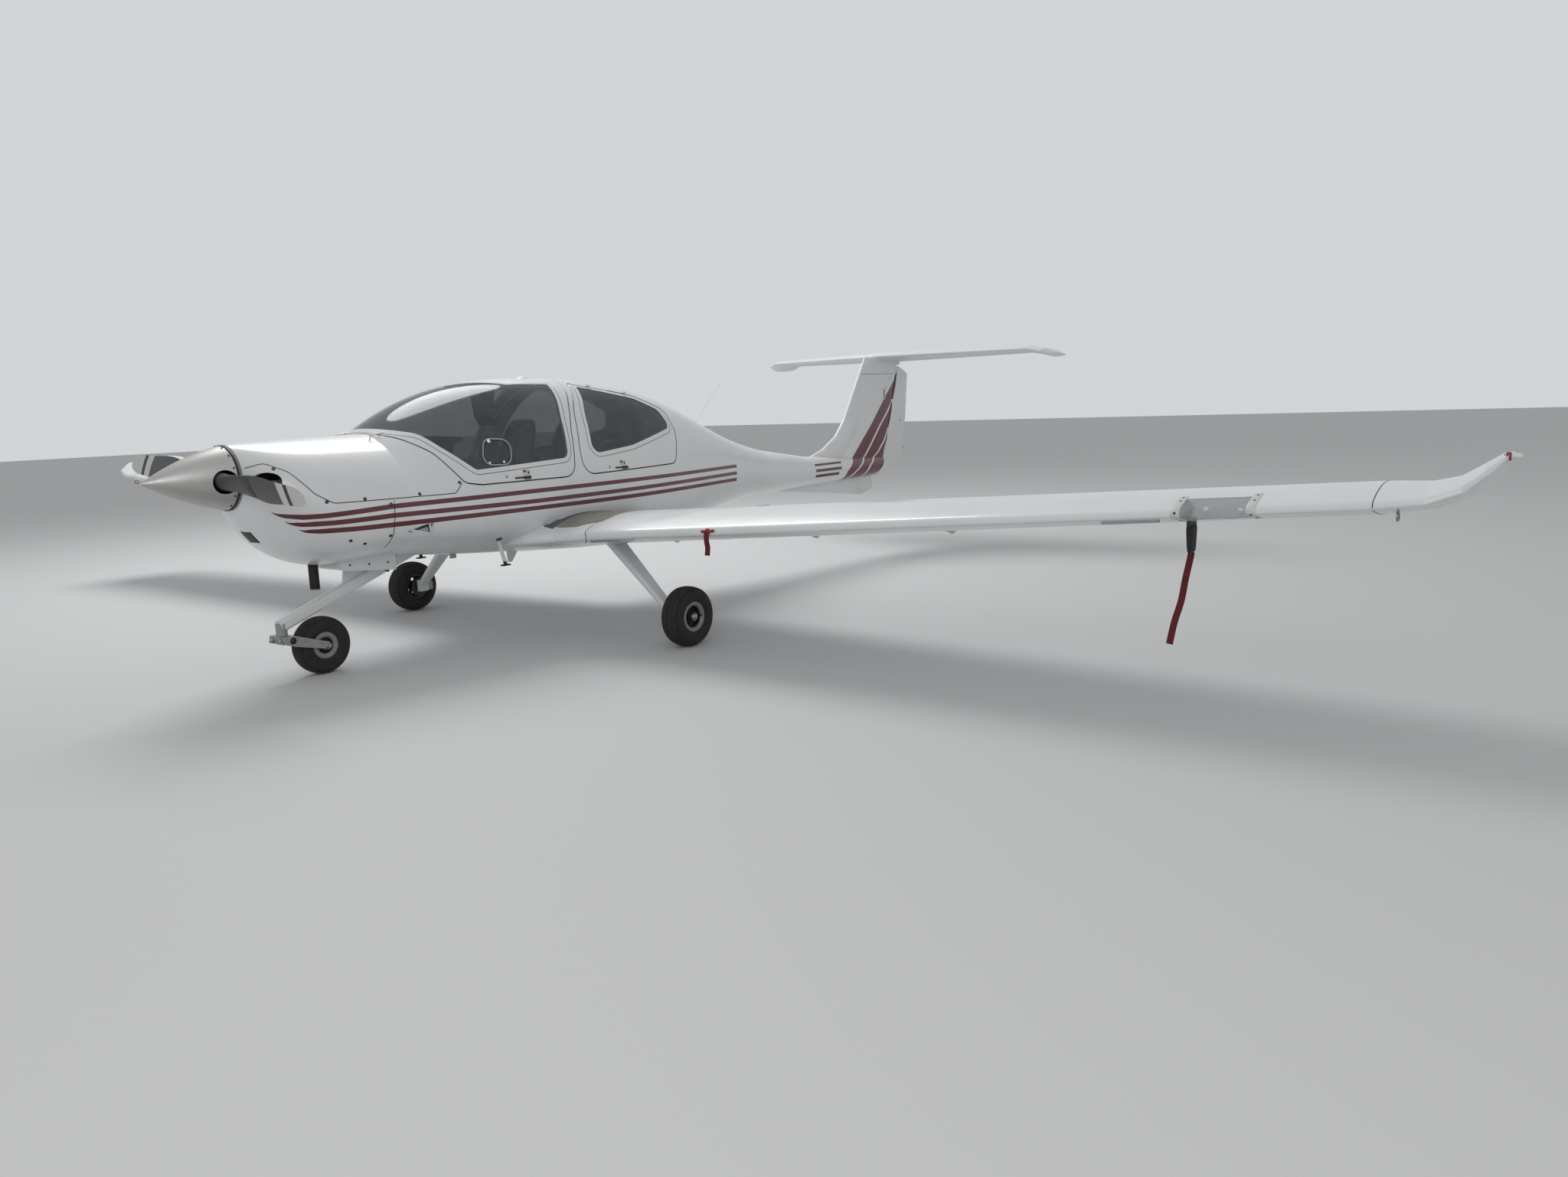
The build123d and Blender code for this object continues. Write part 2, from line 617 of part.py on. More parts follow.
def rudder_line():
    """Ends of the rudder's hinge line and the nose radius at each."""
    (x0, z0), (x1, z1) = RUDDER_HINGE
    return Vector(x0, 0, z0), Vector(x1, 0, z1), [44.0, 26.0]


def dorsal_form():
    """The fillet that sweeps up from the boom into the fin's leading edge."""
    faces = []
    for z, front, rear, thick in DORSAL_SECTIONS:
        plane = Plane(origin=(front, 0, z), x_dir=(1, 0, 0), z_dir=(0, 0, 1))
        share = thick / 2 / (rear - front)
        faces.append(aerofoil(plane, rear - front, share, share, STAB_CREST))
    return loft(faces, ruled=True)


def behind_fin():
    """What is aft of the fin: the rudder's space, up to the cap that carries the stabiliser."""
    (x0, z0), (x1, z1) = RUDDER_HINGE
    slope = (x1 - x0) / (z1 - z0)
    low, far, top = z0 - 100, LENGTH, STAB_Z
    points = [(x0 - 100 * slope, low), (x1 + (FIN_CAP_Z - z1) * slope, FIN_CAP_Z), (FIN_CAP_X, FIN_CAP_Z),
              (FIN_CAP_X, top), (far, top), (far, low)]
    return extrude(Pos(0, 200, 0) * polygon(SIDE, points), amount=400)


def vertical_tail():
    """Fin with its dorsal fillet, the rudder behind it, and the bay that the rudder turns in."""
    form = fin_form()
    start, end, radii = rudder_line()
    lip = RUDDER_SIDE * sin(radians(RUDDER_SWING)) + PANEL_GAP
    bay = hinge_region(start, end, [r + PANEL_GAP for r in radii], -lip, PANEL_GAP)
    rudder = form & through(side_outline(RUDDER_OUTLINE)) & hinge_region(start, end, radii, 0, 0)
    rudder -= hinge_bores(start, end)
    fin = form + dorsal_form() - bay - behind_fin()
    low_pin, top_pin = hinge_pins(start, end, PANEL_GAP)
    front, rear, half, bottom, top = RUDDER_BRACKET
    bracket = slab(front, rear, -half, half, bottom, top)
    low_pin &= slab(front, rear, -half, half, bottom, top + 2 * HINGE_PIN_REACH)
    return fin + top_pin, rudder, bay, bracket + low_pin


def ventral_fin():
    """The keel under the boom."""
    return extrude(Pos(0, VENTRAL_T / 2, 0) * polygon(SIDE, VENTRAL), amount=VENTRAL_T)


# Landing gear
def plate(points, y0, y1):
    """A flat plate of a side-view shape between two distances from the centre plane."""
    return extrude(Pos(0, y1, 0) * polygon(SIDE, points), amount=y1 - y0)


def ring(y0, y1, outer_r, inner_r=0.0):
    """A disc about the Y axis between two side faces, with a bore where one is given."""
    face = Circle(outer_r) - Circle(inner_r) if inner_r else Circle(outer_r)
    return extrude(Plane(origin=(0, y0, 0), z_dir=(0, 1, 0)) * face, amount=y1 - y0)


def wheel(rim_r, tyre_r, tyre_w, hub_in, hub_out, holes, disc_r=0.0):
    """Rim and tyre about the Y axis; a brake disc may stand on the rim's inboard, -Y, side."""
    bead, tread, crown = tyre_w * 0.34, tyre_w * 0.33, tyre_w * 0.05
    well, bore = rim_r - 9, AXLE_R + PIN_FIT
    rim = ring(-bead, bead, rim_r, well) + ring(-6, 6, well + 4, bore) + ring(-hub_in, hub_out, HUB_R, bore)
    rim += ring(-bead - 6, -bead, rim_r + 11, well) + ring(bead, bead + 6, rim_r + 11, well)
    for spot in PolarLocations((HUB_R + well) / 2, holes):
        hole = Plane(origin=(0, -10, 0), z_dir=(0, 1, 0)) * spot * Circle((well - HUB_R) * 0.3)
        rim -= extrude(hole, amount=20)
    if disc_r:
        rim += ring(-hub_in, BRAKE_DISC_T - hub_in, disc_r, HUB_R - 4)
    with BuildSketch(Plane.YZ) as sk:
        with BuildLine():
            Line((-bead, rim_r), (bead, rim_r))
            ThreePointArc((bead, rim_r), (tyre_w / 2, (rim_r + tyre_r) / 2), (tread, tyre_r - crown))
            ThreePointArc((tread, tyre_r - crown), (0, tyre_r), (-tread, tyre_r - crown))
            ThreePointArc((-tread, tyre_r - crown), (-tyre_w / 2, (rim_r + tyre_r) / 2), (-bead, rim_r))
        make_face()
    return rim, revolve(sk.sketch, axis=Axis.Y) - rim


def nose_leg(body_form, fairing):
    """Inclined leg down to the caster housing, and the gusset up to the cowl."""
    (tx, tz), (fx, fz) = LEG_TOP, LEG_FOOT
    way = Vector(fx - tx, 0, fz - tz)
    across = Plane(origin=(tx, 0, tz), x_dir=(0, 1, 0), z_dir=way)
    leg = extrude(across * RectangleRounded(LEG_W, LEG_H, LEG_W * 0.35), amount=way.length)
    leg += plate(GUSSET, -GUSSET_T / 2, GUSSET_T / 2)
    return solids_of(leg - caster_form() - body_form - fairing)[0]


def caster_form():
    """The upright housing at the leg's foot, without its bore."""
    return Pos(CASTER_X, 0, (CASTER_TOP_Z + CASTER_Z) / 2) * Cylinder(CASTER_R, CASTER_TOP_Z - CASTER_Z)


def caster_pin(grow=0.0):
    """The upright pin that the fork turns on."""
    return Pos(CASTER_X, 0, CASTER_Z + 5) * Cylinder(13 + grow, 70 + 2 * grow)


def nose_fork():
    """Crown with its pin, two arms, and the axle between them."""
    top = CASTER_Z - 1
    inner_y = NOSE_TYRE_W / 2 + TYRE_SIDE_GAP
    outer_y = inner_y + FORK_ARM_T
    ax, az = NOSE_AXLE_X, NOSE_TYRE_R
    fork = slab(CASTER_X - 34, CASTER_X + 40, -outer_y, outer_y, top - 28, top) + caster_pin()
    arm = [(CASTER_X - 34, top), (CASTER_X + 40, top), (ax + 8, az + 24), (ax + 24, az), (ax + 8, az - 20),
           (CASTER_X + 30, top - 62), (CASTER_X - 34, top - 40)]
    for side in (-1, 1):
        fork += plate(arm, min(side * inner_y, side * outer_y), max(side * inner_y, side * outer_y))
    return fork + Pos(ax, 0, az) * ring(-outer_y - 10, outer_y + 10, AXLE_R)


def main_leg(wing):
    """Spring leg from the wing's underside, with the axle at its foot; starboard."""
    (ry, rz), (fy, fz) = MAIN_LEG_ROOT, MAIN_LEG_FOOT
    axle_x = NOSE_AXLE_X + WHEELBASE
    way = Vector(0, fy - ry, fz - rz)
    faces = []
    for (y, z), (along, across) in zip((MAIN_LEG_ROOT, MAIN_LEG_FOOT), MAIN_LEG_SIZES):
        plane = Plane(origin=(axle_x, y, z), x_dir=(1, 0, 0), z_dir=way)
        faces.append(plane * RectangleRounded(along, across, across * 0.45))
    leg = loft(faces, ruled=True)
    foot = MAIN_LEG_SIZES[1][0] / 2
    leg += slab(axle_x - foot, axle_x + foot, fy - 24, fy + LEG_SHOE_OUT, MAIN_TYRE_R - 30, LEG_SHOE_Z)
    leg += Pos(axle_x, 0, MAIN_TYRE_R) * ring(fy, TRACK / 2 + MAIN_HUB_OUT + 8, AXLE_R)
    return solids_of(leg - wing)[0]


def brake_caliper():
    """Caliper over the aft edge of the brake disc, on the leg's foot; starboard."""
    axle_x, disc_y = NOSE_AXLE_X + WHEELBASE, TRACK / 2 - MAIN_HUB_IN + BRAKE_DISC_T / 2
    fy = MAIN_LEG_FOOT[0] + LEG_SHOE_OUT
    body = slab(axle_x + 44, axle_x + 104, fy + 4, disc_y + 13, MAIN_TYRE_R - 32, MAIN_TYRE_R + 32)
    slot = Pos(axle_x, 0, MAIN_TYRE_R) * ring(disc_y - 4.5, disc_y + 4.5, BRAKE_R + 3)
    arm = slab(axle_x + 30, axle_x + 104, fy + FIT, fy + 8, MAIN_TYRE_R - 22, MAIN_TYRE_R + 22)
    return body + arm - slot


# Propeller and engine
def spinner_form(inset=0.0):
    """The pointed cone, moved inwards by inset."""
    length, radius = SPINNER_L - 3 * inset, SPINNER_R - inset
    with BuildSketch(Plane.XZ) as sk:
        with BuildLine():
            ThreePointArc((0, 0), (length / 2, radius * SPINNER_BULGE), (length, radius))
            Polyline((length, radius), (length, 0), (0, 0))
        make_face()
    return Pos(3 * inset, 0, 0) * revolve(sk.sketch, axis=Axis.X)


def at_rest(shape):
    """A shape about the X axis, put on the thrust line and turned as the propeller is parked."""
    return Pos(0, 0, THRUST_Z) * Rot(PROP_REST_TILT, 0, 0) * shape


def disc_x(x0, x1, radius, bore=0.0):
    """A disc about the X axis, with a bore where one is given."""
    face = Circle(radius) - Circle(bore) if bore else Circle(radius)
    return extrude(Plane(origin=(x0, 0, 0), z_dir=(1, 0, 0)) * face, amount=x1 - x0)


def spinner():
    """The cone with its back plate and the holes that the blades come out of."""
    shell = spinner_form() - spinner_form(SPINNER_WALL)
    shell += disc_x(SPINNER_L - 6, SPINNER_L, SPINNER_R, SHAFT_R + FIT)
    hole = Pos(BLADE_X, 0, 0) * Rot(90, 0, 0) * Cylinder(BLADE_HOLE_R, 2 * SPINNER_R + 100)
    return at_rest(shell - hole)


def blade():
    """One blade, out along +Y."""
    faces = []
    for share, chord, thick, pitch in BLADE_STATIONS:
        turn = radians(pitch)
        plane = Plane(origin=(BLADE_X, share * PROP_R, 0), x_dir=(sin(turn), 0, cos(turn)), z_dir=(0, 1, 0))
        with BuildSketch(plane) as sk:
            with BuildLine():
                ThreePointArc((-chord / 2, 0), (0, thick * 0.7), (chord / 2, 0))
                ThreePointArc((chord / 2, 0), (0, -thick * 0.3), (-chord / 2, 0))
            make_face()
        faces.append(sk.sketch)
    return loft(faces)


def propeller():
    """Hub, shaft and two blades."""
    first = blade()
    hub = disc_x(BLADE_X - HUB_HALF_L, BLADE_X + HUB_HALF_L, BLADE_HOLE_R - 6)
    hub += disc_x(BLADE_X, ENGINE[0] - FIT, SHAFT_R)
    return at_rest(hub + first + Rot(180, 0, 0) * first)


def engine_block():
    """The engine as one plain block on the firewall's mount."""
    front, rear, width, bottom, top = ENGINE
    mount = slab(rear, FIREWALL_X - FIT, -160, 160, 900, 1120)
    return slab(front, rear, -width / 2, width / 2, bottom, top) + mount


def exhaust():
    """The tail pipe under the cowl."""
    pipe = Pos(EXHAUST_X, 0, 0) * extrude(Circle(EXHAUST_R) - Circle(EXHAUST_R - EXHAUST_WALL), amount=1000)
    return pipe & slab(800, 1100, -60, 60, EXHAUST_FOOT_Z, ENGINE[3] - FIT)


def outlet_fairing(body_form):
    """The open-backed box under the lower cowl that the cooling air leaves by."""
    front, rear, half = OUTLET_BOX
    top = 800
    outline = [(front, OUTLET_Z[0], 25), (rear, OUTLET_Z[1], 2), (rear, top, 2), (front, top, 2)]
    box = through(side_outline(outline), left=half, right=half)
    inner = half - OUTLET_WALL
    inside = through(side_outline(outline), grow=-OUTLET_WALL, left=inner, right=inner)
    return solids_of(box - Pos(2 * OUTLET_WALL, 0, 0) * inside - body_form)[0]


# Cabin
def seat(rows, y, width, space):
    """A moulded seat of a side-view shape, centred at y, kept inside the cabin's walls."""
    return solids_of(plate(rows, y - width / 2, y + width / 2) & space)[0]


def cabin_floor(snug):
    """The flat floor between the firewall and the rear wall."""
    x0, x1 = FLOOR_ENDS
    return slab(x0, x1, -700, 700, FLOOR_Z - FLOOR_T, FLOOR_Z) & snug


def instrument_panel(space):
    """Pedestal, panel and glare shield in one."""
    face = polygon(SIDE, PANEL_PROFILE)
    wide = extrude(Pos(0, 430, 0) * face, amount=860) & slab(1400, 1900, -430, 430, 935, 1500)
    pedestal = extrude(Pos(0, 120, 0) * face, amount=240)
    return solids_of((wide + pedestal) & space)[0]


def control_sticks():
    """Two sticks that stand on the floor."""
    sticks = []
    for y in (-SEAT_Y, SEAT_Y):
        shaft = tube_between((STICK_X, y, FLOOR_Z + FIT), (STICK_X - 60, y, STICK_TOP_Z - 110), 11)
        grip = tube_between((STICK_X - 60, y, STICK_TOP_Z - 112), (STICK_X - 72, y, STICK_TOP_Z), 19)
        foot = Pos(STICK_X, y, FLOOR_Z + FIT + 8) * Cylinder(34, 16)
        above_floor = slab(1900, 2200, -600, 600, FLOOR_Z + FIT, 1200)
        sticks.append(solids_of((shaft + grip + foot) & above_floor)[0])
    return sticks


def roof_band():
    """The opaque band between the two sides of the canopy's glazing."""
    ahead = [(x, y) for x, y in ROOF_BAND]
    points = ahead + [(x, -y) for x, y in reversed(ahead[1:])]
    return extrude(Pos(0, 0, 1500) * polygon(Plane.XY, points), amount=400)


def canopy_parts(shell, pane_shell):
    """Frame and pane of the tilting canopy."""
    window = through(side_outline(GLASS_OUTLINE)) - roof_band()
    small = through(side_outline(GLASS_OUTLINE), grow=-FIT) - roof_band()
    panel = through(side_outline(CANOPY_OUTLINE))
    return shell & panel - window, pane_shell & small


def door_parts(shell, pane_shell):
    """Frame and pane of the port rear door."""
    outline, window = side_outline(DOOR_OUTLINE), side_outline(DOOR_GLASS_OUTLINE)
    frame = (shell & through(outline, right=-1)) - through(window, right=-1)
    return frame, pane_shell & through(window, grow=-FIT, right=-1)


def door_cut():
    """The door's opening in the shell, wider at the upper corner that the door turns past."""
    outline = side_outline(DOOR_OUTLINE)
    corner = slab(*DOOR_CORNER_X, -BEYOND, 0, *DOOR_CORNER_Z)
    return through(outline, grow=PANEL_GAP, right=-1) + (through(outline, grow=DOOR_CORNER_GAP, right=-1) & corner)


# Small outside fittings
def landing_light(wing):
    """Clear lens in the leading edge, the plate with two lamps behind it, and the wing cut for both."""
    y0, y1 = LENS_Y
    rear = chord_plane(y0).origin.X + LENS_DEPTH
    nose = wing & slab(WING_LE_X - 50, rear, y0, y1, 500, 1500)
    core = nose
    for way in (Pos(LENS_T, 0, 0), Pos(0, 0, LENS_T), Pos(0, 0, -LENS_T)):
        core &= way * nose
    middle = chord_plane((y0 + y1) / 2).origin
    lamps = slab(rear - LAMP_PLATE_T, rear, y0, y1, 500, 1500)
    for share in (0.27, 0.73):
        y = y0 + share * (y1 - y0)
        spot = (rear - LAMP_PLATE_T - LAMP_L, y, middle.Z - 6)
        lamps += extrude(Plane(origin=spot, z_dir=(1, 0, 0)) * Circle(LAMP_R), amount=LAMP_L)
    return solids_of(nose - core)[0], solids_of(lamps & core)[0], solids_of(wing - nose)[0]


def hinge_lug(spot, way, start, foot):
    """A barrel on a hinge axis with a round stalk down to its piece."""
    barrel = Plane(origin=spot + way * start, z_dir=way)
    middle = spot + way * (start + LUG_W / 2)
    stalk = tube_between(middle, middle + Vector(*foot), STALK_R)
    return extrude(barrel * Circle(LUG_R), amount=LUG_W) + stalk


def hinge_pair(spot, way, feet):
    """The fixed lug with its pin, and the moving lug that turns on the pin."""
    fixed = hinge_lug(spot, way, 0, feet[0])
    fixed += extrude(Plane(origin=spot, z_dir=way) * Circle(LUG_PIN_R), amount=2 * LUG_W + 4)
    moving = hinge_lug(spot, way, LUG_W + FIT, feet[1])
    moving -= extrude(Plane(origin=spot, z_dir=way) * Circle(LUG_PIN_R + PIN_FIT), amount=3 * LUG_W)
    return fixed, moving


def canopy_hinges():
    """Lugs on both sides of the windscreen's foot."""
    pairs = []
    for side in (-1, 1):
        spot, way = Vector(CANOPY_AXIS[0], side * CANOPY_LUG_Y, CANOPY_AXIS[1]), Vector(0, side, 0)
        pairs.append(hinge_pair(spot, way, CANOPY_FEET))
    return pairs


def door_hinges():
    """Lugs above the rear door's upper edge."""
    start, end = Vector(*DOOR_AXIS[0]), Vector(*DOOR_AXIS[1])
    way = (end - start).normalized()
    return [hinge_pair(start + (end - start) * share, way, DOOR_FEET) for share in DOOR_LUG_SHARES]


def tie_down_eye(tip):
    """The ring under the wing's tip that a rope is tied to; starboard."""
    spot = wing_point(EYE_Y, EYE_SHARE, -aerofoil_reach(EYE_SHARE, WING_LOWER) * TIP_CHORD)
    column = Pos(spot.X, EYE_Y, spot.Z) * Cylinder(EYE_WIRE + 1, 10 * EYE_SHANK)
    seat_z = (tip & column).bounding_box().min.Z
    loop = ring(EYE_Y - EYE_WIRE, EYE_Y + EYE_WIRE, EYE_R + EYE_WIRE, EYE_R - EYE_WIRE)
    shank = Pos(spot.X, EYE_Y, seat_z) * Cylinder(EYE_WIRE + 1, 2 * EYE_SHANK)
    return solids_of(Pos(spot.X, 0, seat_z - EYE_SHANK - EYE_R) * loop + shank - tip)[0]


def entry_step(body_form):
    """The tube with a foot pad ahead of the wing's root; starboard."""
    x, y, z = STEP_FOOT
    long, wide, thick = STEP_PAD
    tube = tube_between((x - 24, y - 35, z + 180), (x, y, z), STEP_TUBE_R)
    return solids_of(tube + Pos(x, y, z - thick / 2) * Box(long, wide, thick) - body_form)[0]


def roof_dome(body_form):
    """The flat satellite antenna on the roof."""
    half_l, half_w, height = DOME_SIZE
    roof = body_form & slab(DOME_X - half_l, DOME_X + half_l, -half_w, half_w, WING_LE_Z, LENGTH)
    foot = roof.bounding_box().max.Z
    form = scale(Sphere(half_l), by=(1, half_w / half_l, (height + DOME_SINK) / half_l))
    return solids_of(Pos(DOME_X, 0, foot - DOME_SINK) * form - body_form)[0]


def whip_antenna(body_form):
    """The wire antenna behind the cabin."""
    (x0, z0), (x1, z1) = WHIP_FOOT, WHIP_TOP
    whip = tube_between((x0, 0, z0 - WHIP_SINK), (x1, 0, z1), WHIP_R)
    return solids_of(whip + Pos(x0, 0, z0) * Cylinder(WHIP_FOOT_R, 2 * WHIP_SINK) - body_form)[0]


def pitot_mast(wing):
    """The blade with the air-data openings under the port wing, made on the starboard side."""
    return solids_of(plate(PITOT, PITOT_Y - PITOT_T / 2, PITOT_Y + PITOT_T / 2) - wing)[0]


def belly_blade(body_form):
    """The radio antenna under the cabin."""
    return solids_of(plate(BELLY_BLADE, -BELLY_BLADE_T / 2, BELLY_BLADE_T / 2) - body_form)[0]


def tip_light(tip):
    """Coloured lens on the end of the upturned tip with a clear one outboard of it; starboard."""
    _, rise, _, aft, cant, _ = TIP_STATIONS[-1]
    end = chord_plane(TIP_JOINT_Y, aft, TIP_REACH, rise, cant)
    front = end.origin + end.x_dir * TIP_LIGHT_R
    lens = tube_between(front, front + end.x_dir * TIP_LIGHT_L, TIP_LIGHT_R)
    lens += Pos(*front) * Sphere(TIP_LIGHT_R)
    middle = front + end.x_dir * TIP_LIGHT_L * 0.3
    tip_end = middle + Vector(0, STROBE_L, 0)
    lens += tube_between(middle, tip_end, STROBE_R) + Pos(*tip_end) * Sphere(STROBE_R)
    return solids_of(lens - tip)[0]


def scoop_cut():
    """What the starboard flush inlet takes out of the skin: a ramp that deepens from its point."""
    point, top, bottom = [Vector(*corner) for corner in SCOOP_CORNERS]
    inwards = Vector(0, -SCOOP_DEPTH, 0)
    floor = make_face(Polyline(point, top + inwards, bottom + inwards, close=True))
    return extrude(floor, amount=80, dir=(0, 1, 0))


def emit(shape, name):
    """Write one node, moved so that the origin is under the middle of the aircraft."""
    solids = [solid for solid in shape.solids() if solid.volume > 50] if hasattr(shape, "solids") else shape
    moved = Pos(-LENGTH / 2, 0, 0) * Compound(solids)
    export_step(moved, f"parts/{name}.step")


def both_sides(shape, name):
    """Write a starboard node and its mirror image to port."""
    emit(shape, f"{name}_starboard")
    emit(mirror(shape, about=Plane.XZ), f"{name}_port")


def main():
    os.makedirs("parts", exist_ok=True)
    form = fuselage_form()
    hollow = fuselage_form(SKIN) & slab(NOSE_WALL_X, BOOM_END_WALL_X, -BEYOND, BEYOND, 0, BEYOND)
    shell = form - hollow
    space = fuselage_form(SKIN + CABIN_CLEAR)
    snug = fuselage_form(SKIN + FIT)
    panes = form - fuselage_form(PANE)

    wing, flap, aileron = surfaces(wing_form())
    flap = solids_of(flap - form)[0]
    lens, lamps, wing = landing_light(solids_of(wing - form)[0])
    stabiliser, elevator, tab = tailplane()
    fin, rudder, bay, bracket = vertical_tail()

    split = through(side_outline(COWL_SPLIT))
    behind_lower = slab(LOWER_COWL_REAR, LENGTH, -BEYOND, BEYOND, 0, BEYOND)
    upper_cowl = through(side_outline(COWL_SPLIT), grow=-FIT)
    canopy_hole = through(side_outline(CANOPY_OUTLINE), grow=PANEL_GAP)
    firewall = disc_x(FIREWALL_X, FIREWALL_X + FIREWALL_T, BEYOND)
    low_part = hollow & slab(0, LENGTH, -BEYOND, BEYOND, 0, FIREWALL_JOINT_Z)
    firewall = (firewall & space) + (firewall & low_part)
    rear_wall = disc_x(REAR_WALL_X, REAR_WALL_X + REAR_WALL_T, BEYOND) & hollow

    cowl = shell & slab(0, COWL_REAR, -BEYOND, BEYOND, 0, BEYOND)
    cowl -= Pos(0, 0, THRUST_Z) * disc_x(0, NOSE_REACH, SHAFT_R + SHAFT_GAP)
    inlet_y, inlet_z, inlet_r = INLET
    for side in (-1, 1):
        cowl -= Pos(0, side * inlet_y, inlet_z) * disc_x(0, NOSE_REACH, inlet_r)
    upper = (cowl & upper_cowl) - canopy_hole
    lower = (cowl - split) & slab(0, LOWER_COWL_REAR - FIT, -BEYOND, BEYOND, 0, BEYOND)
    lower -= Pos(EXHAUST_X, 0, 0) * extrude(Circle(EXHAUST_R + EXHAUST_GAP), amount=ENGINE[3])
    fuselage = (shell & behind_lower) - split - canopy_hole - door_cut() - bay
    window = side_outline(DOOR_GLASS_OUTLINE)
    fuselage -= through(window, left=-1)
    fuselage -= scoop_cut() + mirror(scoop_cut(), about=Plane.XZ)
    fuselage += firewall + rear_wall + bracket
    canopy_frame, canopy_glass = canopy_parts(shell, panes)
    door_frame, door_glass = door_parts(shell, panes)
    for name, pairs, base, panel in (("canopy", canopy_hinges(), upper, canopy_frame),
                                     ("door", door_hinges(), fuselage, door_frame)):
        emit(Compound([solids_of(fixed - base)[0] for fixed, _ in pairs]), f"{name}_hinge_brackets")
        emit(Compound([solids_of(moving - panel)[0] for _, moving in pairs]), f"{name}_hinge_eyes")
    rear_window = panes & through(window, grow=-FIT, left=-1)

    fairing = outlet_fairing(form)
    emit(solids_of(fuselage)[0], "fuselage_shell")
    emit(solids_of(upper)[0], "upper_cowl")
    emit(solids_of(lower)[0], "lower_cowl")
    emit(engine_block(), "engine_block")
    emit(fairing, "air_outlet_fairing")
    emit(exhaust(), "exhaust_pipe")
    emit(canopy_frame, "canopy_frame")
    emit(canopy_glass, "canopy_glass")
    emit(door_frame, "rear_door_frame")
    emit(door_glass, "rear_door_glass")
    emit(rear_window, "rear_window_starboard")
    emit(instrument_panel(space), "instrument_panel")
    emit(cabin_floor(snug), "cabin_floor")
    for side, y in (("port", -SEAT_Y), ("starboard", SEAT_Y)):
        emit(seat(FRONT_SEAT, y, SEAT_W, space), f"front_seat_{side}")
    emit(seat(REAR_SEAT, 0, REAR_SEAT_W, space), "rear_seat")
    emit(Compound(control_sticks()), "control_sticks")

    both_sides(wing, "wing")
    both_sides(lens, "landing_light_lens")
    both_sides(lamps, "landing_lamps")
    tip = tip_form()
    both_sides(tip, "wing_tip")
    light, eye, step = tip_light(tip), tie_down_eye(tip), entry_step(form)
    for node, piece in (("tip_lights", light), ("tie_down_eyes", eye), ("entry_steps", step)):
        emit(Compound([piece, mirror(piece, about=Plane.XZ)]), node)
    emit(mirror(pitot_mast(wing), about=Plane.XZ), "pitot_mast")
    emit(Compound([roof_dome(form), whip_antenna(form), belly_blade(form)]), "antennas")
    both_sides(flap, "flap")
    both_sides(aileron, "aileron")
    emit(solids_of(fin - form - stabiliser)[0], "fin")
    emit(rudder, "rudder")
    emit(ventral_fin() - form, "ventral_fin")
    emit(stabiliser, "stabiliser")
    emit(elevator, "elevator")
    emit(tab, "trim_tab")

    emit(nose_leg(form, fairing), "nose_leg")
    emit(caster_form() - caster_pin(PIN_FIT), "nose_caster_housing")
    emit(nose_fork(), "nose_fork")
    rim, rubber = wheel(NOSE_RIM_R, NOSE_TYRE_R, NOSE_TYRE_W, NOSE_HUB_HALF, NOSE_HUB_HALF, 5)
    place = Pos(NOSE_AXLE_X, 0, NOSE_TYRE_R)
    emit(place * rim, "nose_wheel")
    emit(place * rubber, "nose_tyre")
    rim, rubber = wheel(MAIN_RIM_R, MAIN_TYRE_R, MAIN_TYRE_W, MAIN_HUB_IN, MAIN_HUB_OUT, 6, BRAKE_R)
    place = Pos(NOSE_AXLE_X + WHEELBASE, TRACK / 2, MAIN_TYRE_R)
    both_sides(place * rim, "main_wheel")
    both_sides(place * rubber, "main_tyre")
    both_sides(main_leg(wing), "main_leg")
    both_sides(brake_caliper(), "brake_caliper")

    emit(spinner(), "spinner")
    emit(propeller(), "propeller")


main()
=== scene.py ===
from math import acos, cos, pi, radians, sin, tan, tau

import bpy
import bmesh
from mathutils import Matrix, Vector
from mathutils.bvhtree import BVHTree

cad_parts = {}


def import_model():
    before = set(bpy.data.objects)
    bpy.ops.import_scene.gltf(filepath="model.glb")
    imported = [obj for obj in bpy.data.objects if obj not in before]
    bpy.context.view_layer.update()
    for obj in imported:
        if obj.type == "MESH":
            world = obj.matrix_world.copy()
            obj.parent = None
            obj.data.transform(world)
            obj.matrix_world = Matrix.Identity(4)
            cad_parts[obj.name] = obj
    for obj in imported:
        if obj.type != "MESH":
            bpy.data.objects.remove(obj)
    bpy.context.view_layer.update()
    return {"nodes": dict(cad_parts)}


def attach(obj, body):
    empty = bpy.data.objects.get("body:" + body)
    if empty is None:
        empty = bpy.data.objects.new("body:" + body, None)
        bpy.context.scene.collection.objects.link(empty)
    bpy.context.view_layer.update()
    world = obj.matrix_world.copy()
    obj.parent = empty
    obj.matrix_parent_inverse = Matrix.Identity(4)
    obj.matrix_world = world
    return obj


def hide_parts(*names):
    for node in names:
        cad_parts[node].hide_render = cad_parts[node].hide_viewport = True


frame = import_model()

# Light aircraft, parked. Metres; +X aft, +Y to starboard, +Z up. A station is a distance aft of the
# spinner's tip, so that X in the frame is the station less half the length.
HALF_LENGTH = 4.005
PORT, STARBOARD = -1, 1
SIDES = (("port", PORT), ("starboard", STARBOARD))
FORWARD, AFT, DOWN = Vector((-1, 0, 0)), Vector((1, 0, 0)), Vector((0, 0, -1))

